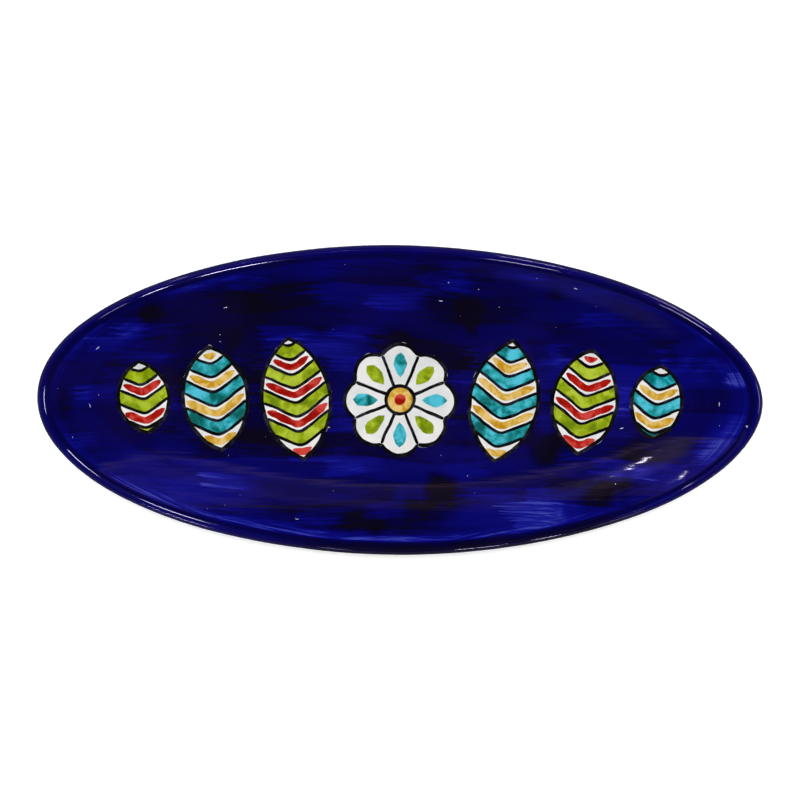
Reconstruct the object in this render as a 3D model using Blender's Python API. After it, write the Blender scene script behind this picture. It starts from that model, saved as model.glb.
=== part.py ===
"""Oval serving plate of glazed earthenware: a coupe body on a foot ring, with fired-on coats and enamels.

Metres, +Z up. X runs along the plate, and the origin is on the table under the middle of the foot.
Sections are drawn as stations of (inset, height): how far in from the plate's edge, and how far up.
"""

import math

import bmesh
import bpy

# The finished plate, over the glaze
PLATE_LENGTH = 0.400
PLATE_WIDTH = 0.171
PLATE_HEIGHT = 0.030
WALL = 0.005
FLOOR_WIDTH = 0.055

# How full each end of the oval is: 2 is an ellipse, and less is more pointed
LEFT_END_FULLNESS = 2.0
RIGHT_END_FULLNESS = 1.91

# The rolled lip stands a little proud of the wall on both sides
LIP_PROUD_INSIDE = 0.0010
LIP_PROUD_OUTSIDE = 0.0004

# The foot ring, bare clay
FOOT_ACROSS = 0.091
FOOT_BAND = 0.0075
FOOT_HEIGHT = 0.006
FOOT_DRAFT = 0.0012
FOOT_EDGE = 0.0010

# The fired-on coats and the gap that keeps touching pieces apart
COAT = 0.0006
SEAT_GAP = 0.0003
GLAZE_LINE_ABOVE_FOOT = 0.005
BASE_COAT_MARGIN = 0.002

# The enamel band: a rosette in the middle and three upright leaves towards each end
PETALS = 8
PETAL_RADIUS = 0.0115
PETAL_REACH = 0.0195
LEAF_NAMES = ("inner", "middle", "outer")
LEAF_WIDTHS = (0.038, 0.036, 0.028)
LEAF_LENGTHS = (0.068, 0.058, 0.040)
LEAF_SPACING = 0.008
LEAF_LEAN = math.radians(8.0)

# Facets
OVAL_STEPS = 72
FACE_STEPS = 6
LIP_STEPS = 9
WALL_STEPS = 5
EDGE_STEPS = 2
LEAF_STEPS = 9
PETAL_STEPS = 6
SHARP_ANGLE = math.radians(40.0)

# Worked out from the sizes above
HALF_LENGTH = PLATE_LENGTH / 2
HALF_WIDTH = PLATE_WIDTH / 2
FLOOR_INSET = (PLATE_WIDTH - FLOOR_WIDTH) / 2
FLOOR_TOP = FOOT_HEIGHT + WALL
FOOT_INSET = (PLATE_WIDTH - FOOT_ACROSS) / 2
CLAY_DEPTH = COAT + SEAT_GAP
LIP_RADIUS = (WALL + LIP_PROUD_INSIDE + LIP_PROUD_OUTSIDE) / 2
LIP_SINK = LIP_RADIUS - LIP_PROUD_INSIDE
LIP_OUT = FLOOR_INSET - LIP_RADIUS
LIP_RISE = PLATE_HEIGHT - LIP_RADIUS - FLOOR_TOP
# The face's arc leaves the floor level and ends on the lip: LIP_OUT^2 + (R - LIP_RISE)^2 = (R + LIP_SINK)^2
COUPE_RADIUS = (LIP_OUT**2 + LIP_RISE**2 - LIP_SINK**2) / (2 * (LIP_RISE + LIP_SINK))
COUPE_CENTRE = FLOOR_TOP + COUPE_RADIUS


def oval_point(inset, height, step):
    """One point of the oval ring that lies this far in from the plate's edge, at this height."""
    angle = 2 * math.pi * step / OVAL_STEPS
    across = math.cos(angle)
    up = math.sin(angle)
    power = 2 / (LEFT_END_FULLNESS if across < 0 else RIGHT_END_FULLNESS)
    x = math.copysign(abs(across) ** power, across) * (HALF_LENGTH - inset)
    y = math.copysign(abs(up) ** power, up) * (HALF_WIDTH - inset)
    return (x, y, height)


def arc_height(inset, radius):
    """Height of a coupe arc of this radius: level under the floor, then rising towards the plate's edge."""
    outward = max(0.0, FLOOR_INSET - inset)
    return COUPE_CENTRE - math.sqrt(radius**2 - outward**2)


def spread(first, last, steps):
    """Evenly spaced values from first to last."""
    return [first + (last - first) * i / steps for i in range(steps + 1)]


def arc_section(radius, first_inset, last_inset, steps):
    """Stations along a coupe arc of this radius, from one inset to another."""
    return [(inset, arc_height(inset, radius)) for inset in spread(first_inset, last_inset, steps)]


def lip_contact(arc_radius, bead_radius):
    """Where a coupe arc runs into the lip's bead, as (outward, height) from the floor's edge."""
    lip_distance = COUPE_RADIUS + LIP_SINK
    lip_angle = math.atan2(LIP_OUT, COUPE_RADIUS - LIP_RISE)
    opening = math.acos(
        (lip_distance**2 + arc_radius**2 - bead_radius**2) / (2 * lip_distance * arc_radius)
    )
    angle = lip_angle - opening
    return arc_radius * math.sin(angle), COUPE_CENTRE - arc_radius * math.cos(angle)


def face_section(depth):
    """The face at this depth under the glaze, from the floor's edge out to the lip."""
    radius = COUPE_RADIUS + depth
    outward, _ = lip_contact(radius, LIP_RADIUS - depth)
    return arc_section(radius, FLOOR_INSET, FLOOR_INSET - outward, FACE_STEPS)


def lip_section(depth):
    """The lip's bead at this depth, from the face over the top and round to the outer wall."""
    bead = LIP_RADIUS - depth
    face_out, face_up = lip_contact(COUPE_RADIUS + depth, bead)
    wall_out, wall_up = lip_contact(COUPE_RADIUS + WALL - depth, bead)
    lip_height = FLOOR_TOP + LIP_RISE
    start = math.atan2(face_up - lip_height, face_out - LIP_OUT) % (2 * math.pi)
    end = math.atan2(wall_up - lip_height, wall_out - LIP_OUT)
    turns = spread(start, end, LIP_STEPS)[1:-1]
    return [(LIP_RADIUS - bead * math.cos(turn), lip_height + bead * math.sin(turn)) for turn in turns]


def wall_section(depth, last_inset):
    """The outer wall at this depth, from the lip down and in to last_inset."""
    radius = COUPE_RADIUS + WALL - depth
    outward, _ = lip_contact(radius, LIP_RADIUS - depth)
    return arc_section(radius, FLOOR_INSET - outward, last_inset, WALL_STEPS)


def skin_section(depth, last_inset):
    """The plate's skin at this depth: over the face, round the lip and down the outer wall to last_inset."""
    return face_section(depth) + lip_section(depth) + wall_section(depth, last_inset)


def new_object(name, bm, collection):
    """Puts a finished bmesh into a new smooth-shaded object with its faces pointing out."""
    bmesh.ops.recalc_face_normals(bm, faces=bm.faces)
    mesh = bpy.data.meshes.new(name)
    bm.to_mesh(mesh)
    bm.free()
    mesh.shade_smooth()
    mesh.set_sharp_from_angle(angle=SHARP_ANGLE)
    made = bpy.data.objects.new(name, mesh)
    collection.objects.link(made)
    return made


def oval_loft(name, section, collection, ring=False):
    """Lofts oval rings through a section. A ring closes on itself, and any other loft gets flat caps."""
    bm = bmesh.new()
    rings = []
    for inset, height in section:
        rings.append([bm.verts.new(oval_point(inset, height, step)) for step in range(OVAL_STEPS)])
    followers = rings[1:] + rings[:1] if ring else rings[1:]
    for first, second in zip(rings, followers):
        for i in range(OVAL_STEPS):
            bm.faces.new((first[i - 1], first[i], second[i], second[i - 1]))
    if not ring:
        bm.faces.new(rings[0])
        bm.faces.new(rings[-1])
    return new_object(name, bm, collection)


def face_sheet(name, top_depth, bottom_depth, collection):
    """A sheet that follows the face between two depths under the glaze."""
    return oval_loft(name, face_section(top_depth) + face_section(bottom_depth)[::-1], collection)


def rosette_outline(margin):
    """Scalloped outline of the rosette, grown by margin: the outer arcs of a ring of round petals."""
    radius = PETAL_RADIUS + margin
    half_petal = math.pi / PETALS
    points = []
    for petal in range(PETALS):
        for swing in spread(-half_petal, half_petal, PETAL_STEPS)[:-1]:
            aside = PETAL_REACH * math.sin(swing)
            reach = PETAL_REACH * math.cos(swing) + math.sqrt(radius**2 - aside**2)
            turn = 2 * half_petal * petal + swing
            points.append((reach * math.cos(turn), reach * math.sin(turn)))
    return points


def leaf_outline(length, width, centre_x, margin):
    """Pointed outline of a leaf, grown by margin: two arcs that meet at the tips, leaning outwards."""
    half_length = length / 2
    half_width = width / 2
    plain_radius = (half_length**2 + half_width**2) / (2 * half_width)
    radius = plain_radius + margin
    swing = math.acos((plain_radius - half_width) / radius)
    lean = -math.copysign(LEAF_LEAN, centre_x)
    points = []
    for side in (1, -1):
        for turn in spread(-swing, swing, LEAF_STEPS)[:-1]:
            across = side * (radius * math.cos(turn) - (plain_radius - half_width))
            along = side * radius * math.sin(turn)
            x = centre_x + across * math.cos(lean) - along * math.sin(lean)
            y = across * math.sin(lean) + along * math.cos(lean)
            points.append((x, y))
    return points


def leaf_centres():
    """How far each leaf stands from the middle: side by side, outwards from the rosette."""
    edge = PETAL_REACH + PETAL_RADIUS
    centres = []
    for width in LEAF_WIDTHS:
        edge += LEAF_SPACING
        centres.append(edge + width / 2)
        edge += width
    return centres


def motifs():
    """Every painted motif: its panel's name and its outline as a function of a margin."""
    found = [("rosette_panel", rosette_outline)]
    for side, sign in (("left", -1), ("right", 1)):
        for name, length, width, centre in zip(LEAF_NAMES, LEAF_LENGTHS, LEAF_WIDTHS, leaf_centres()):

            def outline(margin, length=length, width=width, centre_x=sign * centre):
                return leaf_outline(length, width, centre_x, margin)

            found.append((f"leaf_panel_{side}_{name}", outline))
    return found


def add_prism(bm, outline):
    """Adds an upright prism on an outline, from the table to above the lip."""
    base = bm.faces.new([bm.verts.new((x, y, 0.0)) for x, y in outline])
    raised = bmesh.ops.extrude_face_region(bm, geom=[base])["geom"]
    tops = [item for item in raised if isinstance(item, bmesh.types.BMVert)]
    bmesh.ops.translate(bm, verts=tops, vec=(0.0, 0.0, 2 * PLATE_HEIGHT))


def prism(name, outlines, collection):
    """A cutter of one upright prism for each outline."""
    bm = bmesh.new()
    for outline in outlines:
        add_prism(bm, outline)
    return as_cutter(new_object(name, bm, collection))


def as_cutter(made):
    """Marks an object as a helper that only shapes others."""
    made.hide_render = True
    made.display_type = "WIRE"
    return made


def add_boolean(made, operation, cutter):
    """Cuts an object by another, or keeps what the two share."""
    modifier = made.modifiers.new(operation.title(), "BOOLEAN")
    modifier.operation = operation
    modifier.solver = "EXACT"
    modifier.object = cutter


def finish(made, name, colour, roughness):
    """Gives an object its own Principled material."""
    material = bpy.data.materials.new(name)
    material.use_nodes = True
    shader = material.node_tree.nodes["Principled BSDF"]
    shader.inputs["Base Color"].default_value = (*colour, 1.0)
    shader.inputs["Roughness"].default_value = roughness
    shader.inputs["Metallic"].default_value = 0.0
    material.diffuse_color = (*colour, 1.0)
    made.data.materials.append(material)


def build_clay_body(parts):
    """The fired shell: floor, curved wall and rolled lip, lofted from the floor round to the underside."""
    body = oval_loft("clay_body", skin_section(CLAY_DEPTH, FLOOR_INSET), parts)
    finish(body, "fired_earthenware", (0.55, 0.27, 0.15), 0.85)


def build_foot_ring(parts):
    """The oval band that the plate stands on, with a top that follows the underside and tapered faces."""
    seat_radius = COUPE_RADIUS + WALL - CLAY_DEPTH + SEAT_GAP
    outer = FOOT_INSET
    inner = FOOT_INSET + FOOT_BAND
    section = arc_section(seat_radius, outer, inner, EDGE_STEPS)
    corner = math.pi / 2
    for turn in spread(0.0, corner, EDGE_STEPS):
        across = inner - FOOT_DRAFT - FOOT_EDGE + FOOT_EDGE * math.cos(turn)
        section.append((across, FOOT_EDGE - FOOT_EDGE * math.sin(turn)))
    for turn in spread(corner, 0.0, EDGE_STEPS):
        across = outer + FOOT_DRAFT + FOOT_EDGE - FOOT_EDGE * math.cos(turn)
        section.append((across, FOOT_EDGE - FOOT_EDGE * math.sin(turn)))
    foot = oval_loft("foot_ring", section, parts, ring=True)
    finish(foot, "bare_foot_clay", (0.58, 0.30, 0.17), 0.9)


def build_base_coat(parts):
    """The white ground glaze inside the foot ring, stopped short of the ring."""
    edge = FOOT_INSET + FOOT_BAND + BASE_COAT_MARGIN
    middle = max(FLOOR_INSET, edge + BASE_COAT_MARGIN)
    lower = arc_section(COUPE_RADIUS + WALL, middle, edge, EDGE_STEPS)
    upper = arc_section(COUPE_RADIUS + WALL - COAT, edge, middle, EDGE_STEPS)
    coat = oval_loft("base_coat", lower + upper, parts)
    finish(coat, "white_ground_glaze", (0.76, 0.75, 0.72), 0.2)


def build_cobalt_coat(parts, cutters):
    """The brushed blue glaze over face, lip and outer wall, with a window for every painted motif."""
    glaze_line = FOOT_INSET - GLAZE_LINE_ABOVE_FOOT
    section = skin_section(0.0, glaze_line) + skin_section(COAT, glaze_line)[::-1]
    coat = oval_loft("cobalt_coat", section, parts)
    finish(coat, "cobalt_glaze", (0.004, 0.003, 0.080), 0.12)
    windows = as_cutter(face_sheet("window_cutter", -COAT, COAT + SEAT_GAP / 2, cutters))
    shapes = prism("window_shapes", [outline(SEAT_GAP) for _, outline in motifs()], cutters)
    add_boolean(windows, "INTERSECT", shapes)
    add_boolean(coat, "DIFFERENCE", windows)


def build_enamel_panels(parts, cutters):
    """The white enamel panels that fill the windows flush, each cut from the face to its motif's outline."""
    for name, outline in motifs():
        panel = face_sheet(name, 0.0, COAT, parts)
        add_boolean(panel, "INTERSECT", prism(f"{name}_shape", [outline(0.0)], cutters))
        finish(panel, f"{name}_enamel", (0.76, 0.76, 0.74), 0.15)


def main():
    """Clears the scene and builds the plate from the clay outwards."""
    for old in list(bpy.data.objects):
        bpy.data.objects.remove(old, do_unlink=True)
    parts = bpy.data.collections.new("oval_serving_plate")
    cutters = bpy.data.collections.new("cutters")
    for collection in (parts, cutters):
        bpy.context.scene.collection.children.link(collection)
    build_clay_body(parts)
    build_foot_ring(parts)
    build_base_coat(parts)
    build_cobalt_coat(parts, cutters)
    build_enamel_panels(parts, cutters)


main()
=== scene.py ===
"""Looks of the oval serving plate: its glazes, its painted band, its foot and a plain studio."""

import logging
import math
from collections.abc import Callable, Mapping, Sequence
from dataclasses import asdict, dataclass
from enum import Enum
from typing import Any

import bmesh
import bpy
from mathutils import Matrix, Vector

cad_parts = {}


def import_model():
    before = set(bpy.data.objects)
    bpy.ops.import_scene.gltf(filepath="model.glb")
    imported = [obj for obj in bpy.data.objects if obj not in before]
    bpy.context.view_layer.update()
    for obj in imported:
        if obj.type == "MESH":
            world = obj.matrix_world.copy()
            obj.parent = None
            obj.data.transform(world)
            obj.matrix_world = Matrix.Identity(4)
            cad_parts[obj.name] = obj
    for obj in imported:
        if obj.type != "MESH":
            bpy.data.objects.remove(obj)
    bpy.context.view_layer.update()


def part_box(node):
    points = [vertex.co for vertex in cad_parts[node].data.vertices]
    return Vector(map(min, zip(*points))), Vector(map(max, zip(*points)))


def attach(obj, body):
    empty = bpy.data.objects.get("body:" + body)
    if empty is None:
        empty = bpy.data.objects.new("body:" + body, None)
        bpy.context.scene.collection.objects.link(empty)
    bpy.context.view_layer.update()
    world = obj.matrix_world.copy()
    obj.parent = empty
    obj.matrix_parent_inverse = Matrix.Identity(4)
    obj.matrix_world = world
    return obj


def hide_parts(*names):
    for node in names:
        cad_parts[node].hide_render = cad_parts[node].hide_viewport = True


log = logging.getLogger("oval plate")

Socket = bpy.types.NodeSocket
Inputs = Mapping[int | str, Any]
Path2D = list[tuple[float, float]]
Screen = tuple[int, int, int]
UV_NAME = "UVMap"
SOCKET_TYPES = {float: "Float", int: "Int", bool: "Bool"}
MIDDLE_GREY = (0.5, 0.5, 0.5)
WHITE = (1.0, 1.0, 1.0, 1.0)
BLACK = (0.0, 0.0, 0.0, 1.0)
UP = (0.0, 0.0, 1.0)
DOWN = (0.0, 0.0, -1.0)
SHARP_ANGLE = 40.0


def srgb(*levels: int) -> tuple[float, float, float, float]:
    """Turns a colour as seen on a screen into the linear colour that shaders take.

    Args:
        *levels: Red, green and blue, from 0 to 255.

    Returns:
        Linear red, green and blue, with a full alpha.
    """
    shares = [level / 255 for level in levels]
    red, green, blue = [x / 12.92 if x <= 0.04045 else ((x + 0.055) / 1.055) ** 2.4 for x in shares]
    return red, green, blue, 1.0


def spread(first: float, last: float, steps: int) -> list[float]:
    """Evenly spaced values with both ends, one more than there are steps."""
    return [first + (last - first) * i / steps for i in range(steps + 1)]


def named(values: Mapping[str, Any]) -> dict[str, Any]:
    """Turns keyword names, such as leaf_radius, into the names of inputs, such as Leaf Radius."""
    return {name.replace("_", " ").title(): value for name, value in values.items()}


class Field:
    """A value in a node tree, on which sums are written as plain arithmetic."""

    def __init__(self, sketch: "NodeSketch", socket: Socket) -> None:
        """Takes the tree's sketch and the socket that carries the value."""
        self.sketch = sketch
        self.socket = socket

    def __add__(self, other: Any) -> "Field":
        """This value plus another one."""
        return self.sketch.math("ADD", self, other)

    def __sub__(self, other: Any) -> "Field":
        """This value less another one."""
        return self.sketch.math("SUBTRACT", self, other)

    def __rsub__(self, other: Any) -> "Field":
        """Another value less this one."""
        return self.sketch.math("SUBTRACT", other, self)

    def __mul__(self, other: Any) -> "Field":
        """This value times another one."""
        return self.sketch.math("MULTIPLY", self, other)

    def __truediv__(self, other: Any) -> "Field":
        """This value over another one."""
        return self.sketch.math("DIVIDE", self, other)

    def __rtruediv__(self, other: Any) -> "Field":
        """Another value over this one."""
        return self.sketch.math("DIVIDE", other, self)

    def __abs__(self) -> "Field":
        """This value without its sign."""
        return self.sketch.math("ABSOLUTE", self)

    def split(self) -> tuple["Field", "Field", "Field"]:
        """The x, y and z of this vector."""
        x, y, z = self.sketch.node("ShaderNodeSeparateXYZ", {0: self}).outputs[:3]
        return Field(self.sketch, x), Field(self.sketch, y), Field(self.sketch, z)


class NodeSketch:
    """Adds nodes to one shader or geometry tree, fills their inputs and links them."""

    def __init__(self, tree: bpy.types.NodeTree) -> None:
        """Takes the tree to draw in."""
        self.tree = tree

    def node(self, kind: str, inputs: Inputs | None = None, **settings: Any) -> bpy.types.Node:
        """Adds one node.

        Args:
            kind: Type name of the node.
            inputs: Values for its inputs, by name or number.
            **settings: Properties of the node.

        Returns:
            The node.
        """
        node = self.tree.nodes.new(kind)
        for name, value in settings.items():
            setattr(node, name, value)
        self.fill(node, inputs or {})
        return node

    def value(
        self, kind: str, inputs: Inputs | None = None, output: int | str = 0, **settings: Any
    ) -> Field:
        """Adds one node and gives one of its outputs."""
        return Field(self, self.node(kind, inputs, **settings).outputs[output])

    def fields(self, node: bpy.types.Node) -> dict[str, Field]:
        """The outputs of a node by name."""
        return {socket.name: Field(self, socket) for socket in node.outputs if socket.name}

    def fill(self, node: bpy.types.Node, inputs: Inputs) -> None:
        """Feeds some of a node's inputs."""
        for key, value in inputs.items():
            self.feed(node.inputs[key], value)

    def feed(self, socket: Socket, value: Any) -> None:
        """Links a value to an input, or sets the input.

        Args:
            socket: The input.
            value: A field or a socket to link, or a plain value.
        """
        source = value.socket if isinstance(value, Field) else value
        if isinstance(source, bpy.types.NodeSocket):
            self.tree.links.new(source, socket)
        else:
            socket.default_value = source

    def use(self, group: bpy.types.NodeTree, inputs: Mapping[str, Any]) -> dict[str, Field]:
        """Adds a node group as a node and gives its outputs by name."""
        kind = "ShaderNodeGroup" if self.tree.bl_idname == "ShaderNodeTree" else "GeometryNodeGroup"
        return self.fields(self.node(kind, inputs, node_tree=group))

    def math(self, operation: str, first: Any, second: Any = 0.0) -> Field:
        """Adds a sum, on vectors where one of its values is a vector or a colour.

        Args:
            operation: Name of the sum, such as "ADD".
            first: First value.
            second: Second value, for the sums that take one.

        Returns:
            The result.
        """
        types = [value.socket.type for value in (first, second) if isinstance(value, Field)]
        is_vector = isinstance(second, tuple) or "VECTOR" in types or "RGBA" in types
        kind = "ShaderNodeVectorMath" if is_vector else "ShaderNodeMath"
        return self.value(kind, {0: first, 1: second}, operation=operation)

    def combine(self, x: Any, y: Any, z: Any = 0.0) -> Field:
        """Joins three numbers to a vector."""
        return self.value("ShaderNodeCombineXYZ", {0: x, 1: y, 2: z})

    def noise(
        self,
        vector: Field,
        scale: Any,
        detail: float = 2.0,
        rough: float = 0.5,
        seed: Any = 0.0,
        output: int = 0,
    ) -> Field:
        """Adds a field of noise: numbers from 0 to 1, or colours with output 1."""
        inputs = {"Vector": vector, "Scale": scale, "Detail": detail, "Roughness": rough, "W": seed}
        return self.value("ShaderNodeTexNoise", inputs, output, noise_dimensions="4D")

    def remap(self, value: Any, low: Any, high: Any, to_low: Any = 0.0, to_high: Any = 1.0) -> Field:
        """Carries a range of numbers smoothly to another one, held at its ends."""
        inputs = {0: value, 1: low, 2: high, 3: to_low, 4: to_high}
        return self.value("ShaderNodeMapRange", inputs, interpolation_type="SMOOTHSTEP")

    def blend(self, factor: Any, first: Any, second: Any) -> Field:
        """Blends two numbers, from the first at 0 to the second at 1."""
        return self.value("ShaderNodeMix", {0: factor, 2: first, 3: second}, data_type="FLOAT")

    def tint(self, factor: Any, first: Any, second: Any) -> Field:
        """Blends two colours, from the first at 0 to the second at 1."""
        return self.value("ShaderNodeMix", {0: factor, 6: first, 7: second}, 2, data_type="RGBA")

    def ramp(self, factor: Field, stops: Sequence[tuple[float, Screen]]) -> Field:
        """Adds a colour ramp.

        Args:
            factor: Where on the ramp to read.
            stops: Place and screen colour of each stop, in order.

        Returns:
            The colour.
        """
        node = self.node("ShaderNodeValToRGB", {0: factor})
        elements = node.color_ramp.elements
        while len(elements) < len(stops):
            elements.new(0.5)
        for element, (place, colour) in zip(elements, stops):
            element.position = place
            element.color = srgb(*colour)
        return Field(self, node.outputs[0])


class GroupSketch(NodeSketch):
    """Sketch of a node group with named inputs and outputs."""

    def __init__(
        self, name: str, inputs: Mapping[str, Any], outputs: Mapping[str, str], kind: str = "ShaderNodeTree"
    ) -> None:
        """Starts the group.

        Args:
            name: Name of the group.
            inputs: Default of each input, or the name of its socket type, by the input's name.
            outputs: Socket type of each output, by its name.
            kind: Type of the tree.
        """
        super().__init__(bpy.data.node_groups.new(name, kind))
        sockets = self.tree.interface
        for label, default in inputs.items():
            has_default = not isinstance(default, str)
            socket_type = SOCKET_TYPES[type(default)] if has_default else default
            socket = sockets.new_socket(label, in_out="INPUT", socket_type=f"NodeSocket{socket_type}")
            if has_default:
                socket.default_value = default
        for label, socket_type in outputs.items():
            sockets.new_socket(label, in_out="OUTPUT", socket_type=f"NodeSocket{socket_type}")
        self.given = self.fields(self.node("NodeGroupInput"))
        self.wanted = self.node("NodeGroupOutput").inputs

    def close(self, **results: Field) -> bpy.types.NodeTree:
        """Ends the group.

        Args:
            **results: Values of the outputs, by name.

        Returns:
            The group's tree.
        """
        for name, value in results.items():
            self.feed(self.wanted[name], value)
        return self.tree


class GeometrySketch(GroupSketch):
    """Sketch of a geometry tree, which takes and gives a geometry."""

    def __init__(self, name: str, inputs: Mapping[str, Any]) -> None:
        """Starts the tree with a name and its other inputs."""
        geometry = {"Geometry": "Geometry"}
        super().__init__(name, {**geometry, **inputs}, geometry, "GeometryNodeTree")

    @property
    def position(self) -> Field:
        """Where each point lies."""
        return self.value("GeometryNodeInputPosition")

    def attribute(self, name: str, data_type: str) -> Field:
        """An attribute of the geometry."""
        return self.value("GeometryNodeInputNamedAttribute", {"Name": name}, data_type=data_type)

    def moved(self, geometry: Field, position: Field) -> Field:
        """The geometry with its points at other positions."""
        return self.value("GeometryNodeSetPosition", {0: geometry, "Position": position})

    def merged(self, geometry: Field, distance: float) -> Field:
        """The geometry with its close points made one."""
        return self.value("GeometryNodeMergeByDistance", {0: geometry, "Distance": distance})

    def turn(self, angle: Field) -> Field:
        """A turn about the upright axis."""
        return self.value("FunctionNodeAxisAngleToRotation", {0: UP, 1: angle})

    def finish(self, geometry: Field) -> bpy.types.NodeTree:
        """Ends the tree with a plain mesh in the piece's material.

        Args:
            geometry: The shape.

        Returns:
            The tree.
        """
        real = self.value("GeometryNodeRealizeInstances", {0: geometry})
        painted = self.value("GeometryNodeSetMaterial", {0: real, "Material": self.given["Material"]})
        return self.close(Geometry=painted)


@dataclass(frozen=True)
class Fade:
    """A smooth change from one value to another one while a number goes through a range."""

    low: float
    high: float
    first: float = 0.0
    last: float = 1.0

    def of(self, value: Field) -> Field:
        """The changing value for a number."""
        return value.sketch.remap(value, self.low, self.high, self.first, self.last)


@dataclass(frozen=True)
class Gain:
    """A number made stronger or weaker and then shifted."""

    factor: float
    shift: float = 0.0

    def of(self, value: Field) -> Field:
        """The changed number."""
        return value * self.factor + self.shift


@dataclass(frozen=True)
class Clouds:
    """Soft clouds over a surface: their grains in one metre, their seed and what they are changed to."""

    grain: float
    seed: float
    change: Fade | Gain
    detail: float = 2.0

    def of(self, place: Field) -> Field:
        """The clouds at a place."""
        return self.change.of(place.sketch.noise(place, self.grain, detail=self.detail, seed=self.seed))


def add_object(name: str, data: bpy.types.ID) -> bpy.types.Object:
    """Adds an object to the scene.

    Args:
        name: Name of the object.
        data: Its mesh, light or camera.

    Returns:
        The object.
    """
    thing = bpy.data.objects.new(name, data)
    bpy.context.scene.collection.objects.link(thing)
    return thing


def run_tree(
    name: str, base: bpy.types.Mesh, tree: bpy.types.NodeTree, values: Mapping[str, Any]
) -> bpy.types.Mesh:
    """Runs a geometry tree on a base mesh.

    Args:
        name: Name for the result.
        base: Mesh that goes into the tree.
        tree: The geometry tree.
        values: Values of the tree's inputs, by name.

    Returns:
        The result as a plain mesh.
    """
    holder = add_object(f"{name}_holder", base)
    modifier = holder.modifiers.new("Build", "NODES")
    modifier.node_group = tree
    for item in tree.interface.items_tree:
        if item.item_type == "SOCKET" and item.in_out == "INPUT" and item.name in values:
            modifier[item.identifier] = values[item.name]
    depsgraph = bpy.context.evaluated_depsgraph_get()
    mesh = bpy.data.meshes.new_from_object(holder.evaluated_get(depsgraph))
    mesh.name = name
    bpy.data.objects.remove(holder)
    bpy.data.meshes.remove(base)
    return mesh


def make_piece(
    name: str, meshes: Sequence[bpy.types.Mesh], sharp_angle: float = SHARP_ANGLE
) -> bpy.types.Object:
    """Joins meshes of one material to a piece with its faces turned outwards.

    Args:
        name: Name of the piece.
        meshes: Meshes to join.
        sharp_angle: Edges sharper than this, in degrees, stay sharp in the shading.

    Returns:
        The piece, at the origin.
    """
    joined = bmesh.new()
    for mesh in meshes:
        joined.from_mesh(mesh)
    bmesh.ops.remove_doubles(joined, verts=joined.verts, dist=2e-6)
    bmesh.ops.dissolve_degenerate(joined, edges=joined.edges, dist=1e-7)
    bmesh.ops.recalc_face_normals(joined, faces=joined.faces)
    result = meshes[0].copy()
    result.name = name
    joined.to_mesh(result)
    joined.free()
    material = next(item for item in result.materials if item)
    result.materials.clear()
    result.materials.append(material)
    for polygon in result.polygons:
        polygon.use_smooth = True
        polygon.material_index = 0
    result.set_sharp_from_angle(angle=math.radians(sharp_angle))
    for mesh in meshes:
        bpy.data.meshes.remove(mesh)
    return add_object(name, result)


def dress(piece: bpy.types.Object) -> None:
    """Ties a piece to the plate's body and reports it.

    Args:
        piece: The piece.
    """
    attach(piece, "root")
    log.info("%s: %d faces", piece.name, len(piece.data.polygons))


@dataclass(frozen=True)
class Station:
    """One point of a section through the wall, and how far firing may have moved it."""

    inset: float
    height: float
    sway_in: float = 0.0
    sway_down: float = 0.0


@dataclass(frozen=True)
class Fineness:
    """Number of facets along each stretch of a section."""

    floor: int
    face: int
    lip: int
    wall: int


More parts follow.
